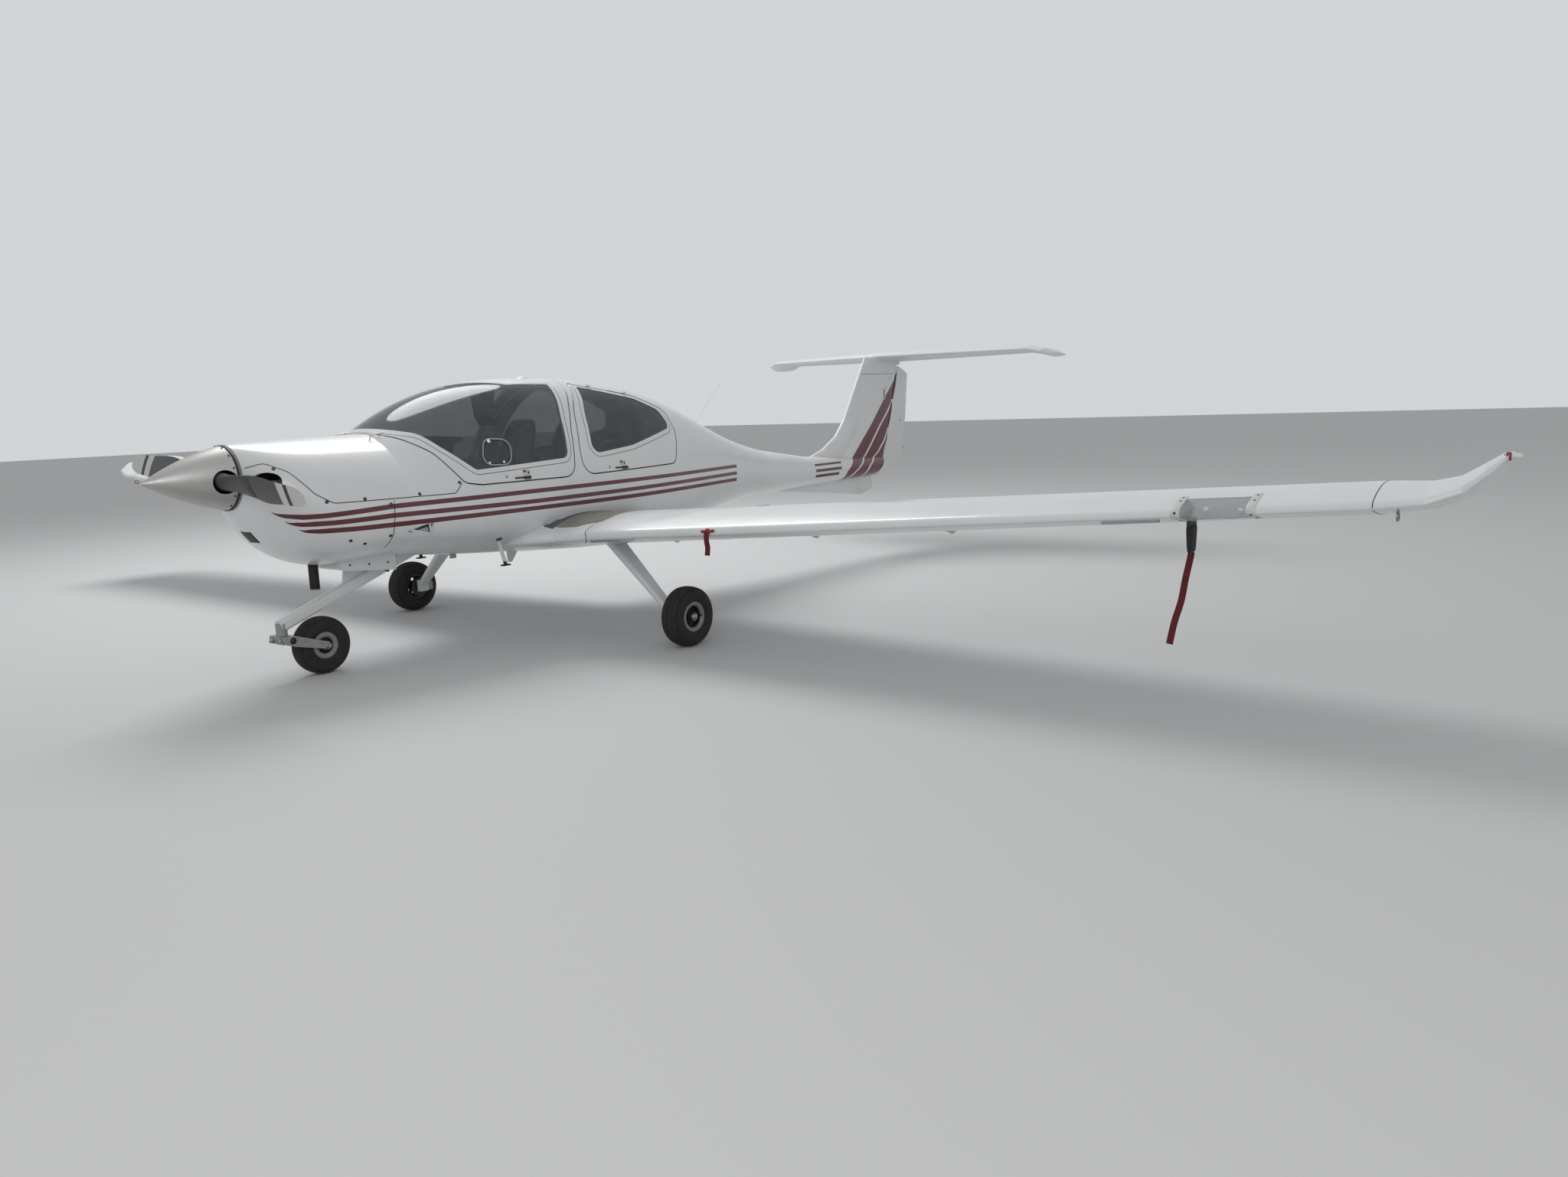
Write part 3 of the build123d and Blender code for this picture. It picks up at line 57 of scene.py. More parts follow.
# Camera, fitted to the photograph
CAMERA_STATION, CAMERA_Y, CAMERA_Z = -2.8423, -6.5117, 1.5242
CAMERA_YAW, CAMERA_PITCH, CAMERA_ROLL = 52.145, -9.0125, -2.0697
CAMERA_LENS, CAMERA_SENSOR = 26.905, 36.0

# Colours, as linear RGB
PAINT_WHITE = (0.76, 0.78, 0.79, 1)
STRIPE_RED = (0.100, 0.009, 0.018, 1)
STRIPE_EDGE = (0.055, 0.008, 0.014, 1)
GRIME = (0.33, 0.30, 0.25, 1)

# Stripes along the fuselage: rows of station and height of the middle
STRIPES = [
    [(0.562, 1.028), (0.584, 1.008), (0.62, 0.996), (0.69, 0.986), (0.78, 0.986), (0.93, 0.994),
     (1.17, 1.008), (2.2, 1.015), (3.14, 1.019), (4.61, 1.021)],
    [(0.618, 0.968), (0.638, 0.953), (0.69, 0.943), (0.84, 0.943), (1.16, 0.955), (2.2, 0.950), (3.13, 0.956),
     (4.6, 0.965)],
    [(0.678, 0.916), (0.704, 0.904), (0.767, 0.899), (0.93, 0.898), (1.16, 0.901), (1.55, 0.903),
     (3.12, 0.907), (4.59, 0.913)],
]
# Half a stripe's width: rows of distance aft of its point, and half width
STRIPE_HALF = [(0.0, 0.0), (0.05, 0.011), (0.12, 0.0145), (4.2, 0.013)]
# Short bars ahead of the fin: rear station, middle height, half width
BARS = [(6.35, 0.9445, 0.0095), (6.33, 0.893, 0.013), (6.29, 0.844, 0.013)]
BARS_FRONT = 5.887
# Fin band, its two edges and the white lines in it: rows of height and station
FIN_FRONT = [(0.76, 6.40), (0.785, 6.416), (0.853, 6.439), (0.986, 6.63), (1.143, 6.805), (1.284, 6.969),
             (1.531, 7.229), (1.689, 7.413), (1.80, 7.507)]
FIN_REAR = [(0.76, 7.03), (0.801, 7.049), (0.965, 7.182), (1.112, 7.261), (1.218, 7.293), (1.388, 7.368),
            (1.507, 7.397), (1.657, 7.47), (1.80, 7.507)]
FIN_LINES = [
    [(0.76, 6.50), (0.842, 6.60), (0.979, 6.83), (1.094, 6.957), (1.267, 7.131), (1.401, 7.289),
     (1.52, 7.405)],
    [(0.76, 6.76), (0.883, 6.855), (1.003, 7.075), (1.114, 7.21), (1.235, 7.30)],
]
FIN_LINE_HALF = 0.017

# Outlines in side view, as in the panels of the CAD: station, height, corner radius
CANOPY_PANE = [(1.352, 1.458, 0.004), (1.5, 1.418, 0.1), (1.59, 1.33, 0.2), (1.78, 1.178, 0.06),
               (2.54, 1.212, 0.06), (2.6, 1.48, 0.4), (2.69, 1.72, 0.03), (2.69, 1.83, 0.01),
               (1.352, 1.83, 0.01)]
DOOR_PANE = [(2.935, 1.688, 0.02), (2.835, 1.5, 0.4), (2.772, 1.222, 0.06), (3.2, 1.262, 0.4),
             (3.745, 1.372, 0.05), (3.69, 1.505, 0.08), (3.47, 1.592, 0.3)]
STORM_WINDOW = [(1.834, 1.204, 0.05), (2.055, 1.196, 0.07), (2.10, 1.352, 0.055), (1.90, 1.368, 0.07)]
SEAL_OFFSET, SEAL_WIDTH, SEAL_RISE = 0.030, 0.0042, 0.0005
# Offset of the dark strips beside the gaps round the canopy and door: rubber, and painted shade in the gaps
GAP_STRIP_OFFSET = 0.0065

# Cowl fasteners: station and height
FASTENERS = [(0.594, 1.262), (0.80, 1.064), (1.012, 1.064), (1.358, 1.064), (1.637, 1.112), (1.159, 1.021),
             (1.151, 0.836), (0.931, 0.829), (1.015, 0.803)]

# The upper cowl, as the outlines above, and the lower cowl's rear edge: station, distance out, height
COWL_SPLIT = [(0.460, 1.262, 0.004), (0.560, 1.292, 0.04), (0.650, 1.240, 0.06), (0.745, 1.110, 0.06),
              (0.835, 1.050, 0.06), (1.600, 1.046, 0.04), (1.676, 1.126, 0.004), (1.676, 1.800, 0.01),
              (0.460, 1.800, 0.01)]
COWL_REAR_SEAM = [(1.183, 0.525, 1.041), (1.173, 0.537, 0.972), (1.164, 0.534, 0.894), (1.166, 0.512, 0.840),
                  (1.164, 0.474, 0.799), (1.171, 0.402, 0.758)]
# Outer edges of the canopy and the door, as the outlines above
CANOPY_PANEL = [(1.296, 1.446, 0.004), (1.400, 1.396, 0.15), (1.530, 1.300, 0.20), (1.680, 1.108, 0.09),
                (1.800, 1.090, 0.06), (2.560, 1.090, 0.10), (2.640, 1.400, 0.50), (2.730, 1.580, 0.40),
                (2.900, 1.830, 0.01), (1.296, 1.830, 0.01)]
DOOR_PANEL = [(2.900, 1.706, 0.03), (2.750, 1.530, 0.40), (2.664, 1.250, 0.30), (2.664, 1.092, 0.09),
              (3.670, 1.108, 0.08), (3.790, 1.330, 0.15), (3.775, 1.500, 0.08), (3.480, 1.610, 0.30)]
# Levers: name, node, body, side, lever's station and height, lock's station and height, plate's station
LEVERS = [("canopy", "canopy_frame", "canopy", PORT, 2.12, 1.106, (1.993, 1.123), 2.155),
          ("canopy_far", "canopy_frame", "canopy", STARBOARD, 2.12, 1.106, (1.993, 1.123), 2.155),
          ("door", "rear_door_frame", "rear_door", PORT, 3.025, 1.113, (2.906, 1.124), 3.045)]
# Flush inlet: station and height, then its plate and ramp as distances aft and up from there
INLET_PLACE = (1.345, 0.853)
INLET_PLATE = [(-0.092, -0.003), (0.052, 0.032), (0.070, -0.027)]
INLET_RAMP = [(-0.048, -0.004), (0.046, 0.012), (0.060, -0.021)]

# Cabin: side views as station and height, the sticks' gaiter as radius and height
SEAT_Y, CABIN_FLOOR = 0.275, 0.7125
CABIN_MIDDLE = 2.6      # lines towards the panel start from this station
FRONT_SHELL = [(2.14, 0.7125), (2.155, 0.80), (2.20, 0.785), (2.60, 0.735), (2.665, 0.76), (2.80, 1.20),
               (2.825, 1.20), (2.70, 0.7125)]
REAR_SHELL = [(3.14, 0.7125), (3.155, 0.80), (3.50, 0.755), (3.575, 0.79), (3.675, 1.10), (3.695, 1.10),
              (3.60, 0.7125)]
INTO_BACK = Vector((1, 0, -0.12)).normalized()
GAITER = [(0.060, 0.0), (0.056, 0.012), (0.050, 0.016), (0.050, 0.022), (0.042, 0.026), (0.041, 0.034),
          (0.033, 0.038), (0.031, 0.046), (0.020, 0.052), (0.017, 0.062)]
VISOR = [(2.235, 1.672), (2.345, 1.690), (2.318, 1.585), (2.300, 1.520), (2.338, 1.446), (2.300, 1.441),
         (2.262, 1.500), (2.252, 1.585)]
CLOTH_FRAMES, CLOTH_PRESSURE, CLOTH_VOXEL, CLOTH_CAP = 20, 4.0, 0.009, 0.012

# Wing: where its skin ends at the root, as station, distance out and height
STUB_SEAM = [(2.509, 0.981, 0.829), (2.430, 0.931, 0.808), (2.356, 0.925, 0.784), (2.285, 0.935, 0.748),
             (2.276, 0.949, 0.716), (2.320, 0.90, 0.678), (2.381, 0.822, 0.662)]
LEADING_CENTRE = 2.46   # station that lines round the leading edge aim at
TIP_JOINT = 5.5015      # distance out of the joint with the tip
ROOT_CAST = 0.97        # lines down to the walkways start from this height
FUEL_CAP = [(0.046, -0.001), (0.046, 0.0012), (0.041, 0.0016), (0.041, 0.0006), (0.036, 0.0006),
            (0.036, 0.003), (0.010, 0.0036)]
HINGE_PLATE = [(-0.014, -0.055), (0.010, -0.055), (0.022, 0.05), (-0.002, 0.05)]
HINGE_SLOT = [(-0.006, -0.05), (-0.001, -0.05), (0.006, 0.045), (0.001, 0.045)]
PITOT_STATION, PITOT_Y = 2.535, -4.715
# Sock over the pitot mast: height, half length and half thickness
PITOT_SOCK = [(0.905, 0.050, 0.013), (0.89, 0.053, 0.015), (0.85, 0.047, 0.015), (0.81, 0.041, 0.014),
              (0.784, 0.037, 0.0135), (0.776, 0.034, 0.010)]
STREAMER_WIDTH = 0.030

# Wheels: station, distance out, height, tyre radius and width, rim radius
NOSE_WHEEL = (0.944, 0.0, 0.175, 0.175, 0.125, 0.078)
MAIN_WHEEL = (2.624, 1.47, 0.193, 0.193, 0.155, 0.092)
FORK_OUT = 0.0825       # distance out of the fork's outer faces
BRAKE_HOSE = [(2.662, 0.88, 0.60), (2.668, 1.08, 0.43), (2.672, 1.24, 0.30), (2.675, 1.345, 0.232)]

# Propeller: the blades' station, their tilt as parked in degrees, the axis's height
BLADE_STATION, BLADE_TILT, THRUST_Z = 0.388, 5.5, 1.217
# Cuff of a blade: distance out, chord, thickness, pitch in degrees
CUFF = [(0.110, 0.114, 0.100, 49), (0.165, 0.116, 0.084, 46), (0.22, 0.126, 0.058, 42),
        (0.29, 0.140, 0.038, 38), (0.37, 0.150, 0.026, 33), (0.44, 0.146, 0.014, 30)]


def at(station, y, z):
    """A point of the frame from a station."""
    return Vector((station - HALF_LENGTH, y, z))


class Value:
    """A socket of a finish; arithmetic on it adds Math nodes."""

    def __init__(self, finish, socket):
        self.finish, self.socket = finish, socket

    def maths(self, operation, *others, swap=False):
        parts = [self, *others]
        if swap:
            parts.reverse()
        return self.finish.node("Math", {"operation": operation}, dict(enumerate(parts)))

    def __add__(self, other):
        return self.maths("ADD", other)

    def __sub__(self, other):
        return self.maths("SUBTRACT", other)

    def __rsub__(self, other):
        return self.maths("SUBTRACT", other, swap=True)

    def __mul__(self, other):
        return self.maths("MULTIPLY", other)

    __radd__, __rmul__ = __add__, __mul__

    def __truediv__(self, other):
        return self.maths("DIVIDE", other)

    def __pow__(self, other):
        return self.maths("POWER", other)

    def least(self, other):
        return self.maths("MINIMUM", other)

    def most(self, other):
        return self.maths("MAXIMUM", other)

    def size(self):
        return self.maths("ABSOLUTE")

    def wave(self):
        return self.maths("SINE")

    def above(self, edge, soft=0.002):
        """0 below the edge, 1 above it, with a soft step between."""
        return ((self - edge) / soft + 0.5).most(0.0).least(1.0)

    def below(self, edge, soft=0.002):
        return 1.0 - self.above(edge, soft)

    def within(self, low, high, soft=0.002):
        return self.above(low, soft) * self.below(high, soft)

    def follow(self, rows):
        """A number that follows rows of (this value, number), straight between them."""
        first, last = rows[0][0], rows[-1][0]
        numbers = [number for _, number in rows]
        low, span = min(numbers), max(numbers) - min(numbers)
        stops = [((place - first) / (last - first), ((number - low) / span,) * 3 + (1,))
                 for place, number in rows]
        ramp = self.finish.node("ValToRGB", {"stops": stops}, {"Fac": (self - first) / (last - first)})
        return ramp * span + low


class Finish:
    """A material under construction, and a slot name that it keeps; no piece is given that slot."""

    def __init__(self, name, slot="dark_trim"):
        self.slot = slot
        self.material = bpy.data.materials.new(name)
        self.material.use_nodes = True
        self.tree = self.material.node_tree
        self.shader = self.tree.nodes["Principled BSDF"]
        self.spot = None

    def node(self, kind, settings=None, inputs=None, output=0):
        """Adds a node: its settings first, then the values or links of its sockets."""
        node = self.tree.nodes.new("ShaderNode" + kind)
        for key, value in (settings or {}).items():
            if key == "stops":
                self.set_stops(node, value)
            else:
                setattr(node, key, value)
        for key, value in (inputs or {}).items():
            self.feed(node.inputs[key], value)
        return Value(self, node.outputs[output])

    def set_stops(self, node, stops):
        points = node.color_ramp.elements
        for point, (place, colour) in zip(points, (stops[0], stops[-1])):
            point.position, point.color = place, colour
        for place, colour in stops[1:-1]:
            points.new(place).color = colour

    def feed(self, socket, value):
        if isinstance(value, Value):
            self.tree.links.new(value.socket, socket)
        else:
            socket.default_value = value

    def set(self, **sockets):
        """Feeds the shader's sockets, named with underscores for spaces."""
        for key, value in sockets.items():
            self.feed(self.shader.inputs[key.replace("_", " ")], value)
        return self

    def place(self):
        """The point of the surface in the frame, as X, Y and Z."""
        if self.spot is None:
            self.spot = self.node("TexCoord", output=3)
            parts = self.node("SeparateXYZ", {}, {0: self.spot})
            self.axes = [Value(self, socket) for socket in parts.socket.node.outputs]
        return self.axes

    def noise(self, scale, detail=3.0, rough=0.55, stretch=None):
        """Noise over the frame's metres, from 0 to 1."""
        self.place()
        vector = self.spot
        if stretch:
            vector = self.node("VectorMath", {"operation": "MULTIPLY"}, {0: vector, 1: stretch})
        inputs = {"Vector": vector, "Scale": scale, "Detail": detail, "Roughness": rough}
        return self.node("TexNoise", {}, inputs)

    def cells(self, scale):
        self.place()
        return self.node("TexVoronoi", {}, {"Vector": self.spot, "Scale": scale})

    def mix(self, factor, first, second):
        """A colour between two."""
        return self.node("Mix", {"data_type": "RGBA"}, {0: factor, 6: first, 7: second}, 2)

    def bump(self, height, depth, strength=1.0):
        """A normal from a height; depth in metres."""
        return self.node("Bump", {}, {"Height": height, "Distance": depth, "Strength": strength})


# Stage
def camera():
    yaw, pitch, roll = radians(CAMERA_YAW), radians(CAMERA_PITCH), radians(CAMERA_ROLL)
    ahead = Vector((sin(yaw) * cos(pitch), cos(yaw) * cos(pitch), sin(pitch)))
    right = ahead.cross(Vector((0, 0, 1))).normalized()
    up = right.cross(ahead)
    right, up = right * cos(roll) + up * sin(roll), up * cos(roll) - right * sin(roll)
    data = bpy.data.cameras.new("camera")
    data.lens = CAMERA_LENS
    data.sensor_width = CAMERA_SENSOR
    data.clip_end = 200
    eye = bpy.data.objects.new("camera", data)
    turn = Matrix((right, up, -ahead)).transposed().to_4x4()
    eye.matrix_world = Matrix.Translation(at(CAMERA_STATION, CAMERA_Y, CAMERA_Z)) @ turn
    bpy.context.collection.objects.link(eye)
    bpy.context.scene.camera = eye


def lamp(name, spot, aim, size, watts):
    data = bpy.data.lights.new(name, "AREA")
    data.shape, data.size, data.energy = "DISK", size, watts
    light = bpy.data.objects.new(name, data)
    light.location = spot
    light.rotation_euler = (Vector(aim) - Vector(spot)).to_track_quat("-Z", "Y").to_euler()
    bpy.context.collection.objects.link(light)


def seen_directly(tree):
    """1 for rays from the camera, and those that glass or gloss sends on."""
    path = tree.nodes.new("ShaderNodeLightPath")
    total = path.outputs["Is Camera Ray"]
    for name in ("Is Glossy Ray", "Is Transmission Ray"):
        add = tree.nodes.new("ShaderNodeMath")
        add.operation = "MAXIMUM"
        tree.links.new(total, add.inputs[0])
        tree.links.new(path.outputs[name], add.inputs[1])
        total = add.outputs[0]
    return total


def world(strength, backdrop):
    sky = bpy.data.worlds.new("studio")
    sky.use_nodes = True
    tree = sky.node_tree
    light = tree.nodes["Background"]
    light.inputs[0].default_value = (1, 1, 1, 1)
    light.inputs[1].default_value = strength
    seen = tree.nodes.new("ShaderNodeBackground")
    seen.inputs[0].default_value = backdrop
    mix = tree.nodes.new("ShaderNodeMixShader")
    tree.links.new(seen_directly(tree), mix.inputs[0])
    tree.links.new(light.outputs[0], mix.inputs[1])
    tree.links.new(seen.outputs[0], mix.inputs[2])
    tree.links.new(mix.outputs[0], tree.nodes["World Output"].inputs[0])
    bpy.context.scene.world = sky


def floor():
    mesh = bpy.data.meshes.new("floor")
    reach = 60.0
    corners = [(-reach, -reach, 0), (reach, -reach, 0), (reach, reach, 0), (-reach, reach, 0)]
    mesh.from_pydata(corners, [], [(0, 1, 2, 3)])
    ground = bpy.data.objects.new("floor", mesh)
    bpy.context.collection.objects.link(ground)
    finish = Finish("floor")
    finish.set(Base_Color=(0.66, 0.665, 0.67, 1), Roughness=0.75)
    mesh.materials.append(finish.material)


# Finishes
def weathered(finish, base, grime=0.35):
    """White paint with rain streaks and road dirt low down."""
    _, _, z = finish.place()
    streaks = finish.noise(3.0, 4.0, 0.6, (1.0, 1.0, 0.25))
    low = z.below(0.95, 0.7)
    specks = finish.noise(60.0, 5.0, 0.7).above(0.68, 0.03) * 0.25
    dirt = ((streaks - 0.42).most(0.0) + specks * low) * (low * 0.9 + 0.25) * grime
    return finish.mix(dirt, base, GRIME)


def gloss_paint(finish, colour):
    soft = finish.noise(2.2, 4.0)
    orange_peel = finish.noise(220.0, 2.0)
    return finish.set(Base_Color=colour, Roughness=0.26 + soft * 0.14, Coat_Weight=0.45, Coat_Roughness=0.08,
                      Normal=finish.bump(orange_peel, 0.00004, 0.4))


def white_paint(name="white_paint", grime=0.5):
    finish = Finish(name)
    return gloss_paint(finish, weathered(finish, PAINT_WHITE, grime))


def livery_paint():
    """White with the three stripes, the short bars and the fin bands, the same on both sides."""
    finish = Finish("livery_paint")
    x, _, z = finish.place()
    station = x + HALF_LENGTH
    red, edge = 0.0, 0.0
    for rows in STRIPES:
        start, end = rows[0][0], rows[-1][0]
        half = (station - start).follow(STRIPE_HALF)
        off = (z - station.follow(rows)).size()
        span = station.within(start, end)
        red = (half - off).above(0.0) * span + red
        edge = (half - off).within(0.0, 0.0022, 0.001) * span + edge
    for rear, middle, half in BARS:
        red = (z - middle).size().below(half) * station.within(BARS_FRONT, rear) + red
    behind = (station - z.follow(FIN_FRONT)).above(0.0, 0.004)
    ahead = (z.follow(FIN_REAR) - station).above(0.0, 0.004)
    band = behind * ahead * z.within(0.745, 1.80)
    for rows in FIN_LINES:
        gap = (station - z.follow(rows)).size().below(FIN_LINE_HALF, 0.004) * z.below(rows[-1][0])
        band = band * (1.0 - gap)
    red = (red + band).least(1.0)
    fade = finish.noise(6.0, 3.0)
    stripe = finish.mix(fade * 0.5, STRIPE_RED, (0.140, 0.018, 0.030, 1))
    stripe = finish.mix(edge.least(1.0), stripe, STRIPE_EDGE)
    colour = finish.mix(red, weathered(finish, PAINT_WHITE, 0.5), stripe)
    return gloss_paint(finish, colour)


def pane(name, colour, alpha):
    finish = Finish(name)
    dust = finish.noise(9.0, 5.0, 0.65)
    finish.set(Base_Color=finish.mix(dust.above(0.55, 0.4) * 0.12, colour, (0.5, 0.52, 0.54, 1)),
               Roughness=0.03 + dust * 0.05, Alpha=alpha + dust * 0.08, Specular_IOR_Level=0.6)
    return finish


def plain(name, colour, rough, metal=0.0, coat=0.0, scale=30.0, wear=0.3, grain=0.0, grain_scale=400.0,
          slot="dark_trim"):
    """One colour with blotches of wear, and a fine grain where it has one."""
    finish = Finish(name, slot)
    blotch = finish.noise(scale, 4.0)
    darker = tuple(0.55 * v for v in colour[:3]) + (1,)
    finish.set(Base_Color=finish.mix(blotch * wear, colour, darker), Roughness=rough + blotch * 0.15,
               Metallic=metal, Coat_Weight=coat)
    if grain:
        finish.set(Normal=finish.bump(finish.noise(grain_scale, 2.0), grain, 0.6))
    return finish


def spinner_metal():
    """Spun metal: fine rings round the axis and a dull film."""
    finish = Finish("spinner_metal")
    rings = finish.noise(260.0, 3.0, 0.7, (1.0, 0.04, 0.04))
    film = finish.noise(5.0, 4.0, 0.6, (0.6, 1.0, 1.0))
    colour = finish.mix(film * 0.5, (0.52, 0.51, 0.49, 1), (0.34, 0.33, 0.32, 1))
    return finish.set(Base_Color=colour, Metallic=0.85, Roughness=0.30 + rings * 0.16 + film * 0.08,
                      Normal=finish.bump(rings, 0.00008, 0.5))


def blade_paint():
    """Dark grey with white, black and white at the ends and worn leading edges."""
    finish = Finish("blade_paint", "propeller_paint")
    _, y, z = finish.place()
    out = (y * y + (z - THRUST_Z) * (z - THRUST_Z)) ** 0.5
    worn = finish.noise(18.0, 5.0, 0.7)
    colour = finish.mix(worn * 0.35, (0.062, 0.063, 0.066, 1), (0.10, 0.10, 0.105, 1))
    for inner, outer, tint in ((0.70, 0.765, (0.62, 0.62, 0.60, 1)), (0.765, 0.80, (0.015, 0.015, 0.016, 1)),
                               (0.80, 0.95, (0.60, 0.60, 0.58, 1))):
        colour = finish.mix(out.within(inner, outer), colour, tint)
    chips = finish.noise(120.0, 3.0, 0.8).above(0.66, 0.02) * out.above(0.5, 0.2)
    colour = finish.mix(chips * 0.6, colour, (0.4, 0.4, 0.4, 1))
    return finish.set(Base_Color=colour, Roughness=0.36 + worn * 0.2, Metallic=chips * 0.8)


def tyre_rubber(name, wheel, way):
    """Ribbed tread, moulded rings on the side walls, dust, and painted shade that darkens the grooves."""
    station, out, height, radius, width, _ = wheel
    finish = Finish(name)
    x, y, z = finish.place()
    across = (y - way * out) / (width / 2)
    dx, dz = x - (station - HALF_LENGTH), z - height
    reach = (dx * dx + dz * dz) ** 0.5 / radius
    tread = reach.above(0.86, 0.02)
    groove = (across.size() * 5.5 * pi).wave().above(0.75, 0.3) * tread
    rings = (reach * 70.0 * pi).wave().above(0.6, 0.5) * reach.within(0.62, 0.72, 0.01)
    dust = finish.noise(24.0, 5.0, 0.65)
    relief = 1.0 - groove + rings * 0.25 + dust * 0.2
    colour = finish.mix(dust.above(0.45, 0.3) * 0.35, (0.013, 0.013, 0.015, 1), (0.05, 0.048, 0.045, 1))
    # Painted shade: the grooves are coloured darker than the tread around them.
    colour = finish.mix(groove * 0.7, colour, (0.008, 0.008, 0.008, 1))
    return finish.set(Base_Color=colour, Roughness=0.78 + dust * 0.15, Normal=finish.bump(relief, 0.004, 0.9))


def leather():
    """Dark seat leather: pebbled grain, creases and rubbed lighter patches."""
    finish = Finish("seat_leather", "upholstery")
    pebbles = finish.cells(520.0)
    creases = finish.noise(35.0, 4.0, 0.6)
    rub = finish.noise(6.0, 3.0)
    colour = finish.mix(rub.above(0.45, 0.3) * 0.5, (0.105, 0.115, 0.130, 1), (0.170, 0.182, 0.200, 1))
    return finish.set(Base_Color=colour, Roughness=0.45 + rub * 0.2,
                      Normal=finish.bump(pebbles * 0.4 + creases, 0.0012, 0.6), Coat_Weight=0.1)


def carpet():
    finish = Finish("carpet")
    loops = finish.cells(420.0)
    colour = finish.mix(finish.noise(9.0, 3.0), (0.03, 0.031, 0.034, 1), (0.06, 0.06, 0.064, 1))
    return finish.set(Base_Color=colour, Roughness=0.95, Normal=finish.bump(loops, 0.003, 0.8))


def walkway_mat():
    """Grit sheet: beige grey with stains."""
    finish = Finish("walkway_mat")
    grit = finish.cells(900.0)
    stain = finish.noise(7.0, 4.0, 0.65)
    colour = finish.mix(stain, (0.33, 0.31, 0.27, 1), (0.23, 0.22, 0.20, 1))
    return finish.set(Base_Color=colour, Roughness=0.92, Normal=finish.bump(grit, 0.0012, 0.8))


def red_cloth():
    """Woven red tape."""
    finish = Finish("red_cloth")
    _, y, z = finish.place()
    weave = ((z * 3400.0).wave() * (y * 3400.0).wave()).size()
    dirt = finish.noise(40.0, 4.0)
    colour = finish.mix(dirt * 0.6, (0.14, 0.012, 0.013, 1), (0.07, 0.010, 0.010, 1))
    return finish.set(Base_Color=colour, Roughness=0.85, Normal=finish.bump(weave, 0.0005, 0.6))


def tip_lens():
    """Red to port, green to starboard, clear outboard."""
    finish = Finish("tip_lens")
    _, y, _ = finish.place()
    ribs = finish.noise(200.0, 2.0, 0.5, (1.0, 0.1, 0.1))
    colour = finish.mix(y.above(0.0), (0.22, 0.008, 0.010, 1), (0.008, 0.16, 0.05, 1))
    colour = finish.mix(y.size().above(5.932, 0.001), colour, (0.72, 0.74, 0.75, 1))
    return finish.set(Base_Color=colour, Roughness=0.08 + ribs * 0.1, Coat_Weight=0.6)


def step_paint():
    """White tube, black rubber foot."""
    finish = Finish("step_paint")
    _, _, z = finish.place()
    scuff = finish.noise(90.0, 4.0, 0.7)
    white = finish.mix(scuff * 0.4, PAINT_WHITE, GRIME)
    colour = finish.mix(z.below(0.572), white, (0.02, 0.02, 0.02, 1))
    return finish.set(Base_Color=colour, Roughness=0.4 + scuff * 0.3)


def scorched_steel():
    finish = Finish("scorched_steel")
    _, _, z = finish.place()
    soot = finish.noise(30.0, 5.0, 0.7)
    colour = finish.mix(soot, (0.050, 0.040, 0.034, 1), (0.022, 0.020, 0.020, 1))
    colour = finish.mix(z.below(0.56, 0.06) * 0.6, colour, (0.012, 0.011, 0.011, 1))
    return finish.set(Base_Color=colour, Metallic=0.6, Roughness=0.5 + soot * 0.3)


# Making pieces
def give(finish, *nodes):
    """The finish on every slot of CAD nodes."""
    for name in nodes:
        for slot in frame["nodes"][name].material_slots:
            slot.material = finish.material


def piece(name, shapes, finish, body="airframe", smooth=True, slot=None):
    """A mesh in the frame, made of shapes, that rides on a body."""
    slot = slot or finish.slot
    points, faces = joined(shapes)
    mesh = bpy.data.meshes.new(name)
    mesh.from_pydata([tuple(point) for point in points], [], faces)
    mesh.validate()
    form = bmesh.new()
    form.from_mesh(mesh)
    bmesh.ops.recalc_face_normals(form, faces=form.faces)
    form.to_mesh(mesh)
    form.free()
    mesh.materials.append(finish.material)
    for face in mesh.polygons:
        face.use_smooth = smooth
    thing = bpy.data.objects.new(name, mesh)
    bpy.context.collection.objects.link(thing)
    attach(thing, body)
    return thing


def modified(thing, kind, **settings):
    """Adds a modifier and applies it."""
    change = thing.modifiers.new(kind.lower(), kind)
    for key, value in settings.items():
        setattr(change, key, value)
    graph = bpy.context.evaluated_depsgraph_get()
    mesh = bpy.data.meshes.new_from_object(thing.evaluated_get(graph))
    thing.modifiers.clear()
    thing.data = mesh
    return thing


def joined(shapes):
    """One list of points and one of faces from several."""
    points, faces = [], []
    for more, sides in shapes:
        faces += [[index + len(points) for index in side] for side in sides]
        points += more
    return points, faces


def lofted(loops, closed=True, caps=True):
    """Skin over loops of as many points each."""
    count = len(loops[0])
    points = [point for loop in loops for point in loop]
    faces = []
    for row in range(len(loops) - 1):
        for k in range(count if closed else count - 1):
            a, b = row * count + k, row * count + (k + 1) % count
            faces.append([a, b, b + count, a + count])
    if caps:
        faces += [list(range(count))[::-1], [len(points) - count + k for k in range(count)]]
    return points, faces


def facing(way):
    """Two directions square to way and to each other."""
    way = Vector(way).normalized()
    side = way.cross(Vector((0, 0, 1)) if abs(way.z) < 0.9 else Vector((1, 0, 0))).normalized()
    return side, way.cross(side)


def circle(centre, way, radius, count, start=0.0):
    """Points round a centre, square to way."""
    side, other = facing(way)
    turns = [start + k * tau / count for k in range(count)]
    return [centre + (side * cos(turn) + other * sin(turn)) * radius for turn in turns]


def turned(profile, foot, way, count=32):
    """A turned form: rows of radius and height along way from foot."""
    way = Vector(way).normalized()
    return lofted([circle(Vector(foot) + way * height, way, radius, count) for radius, height in profile])


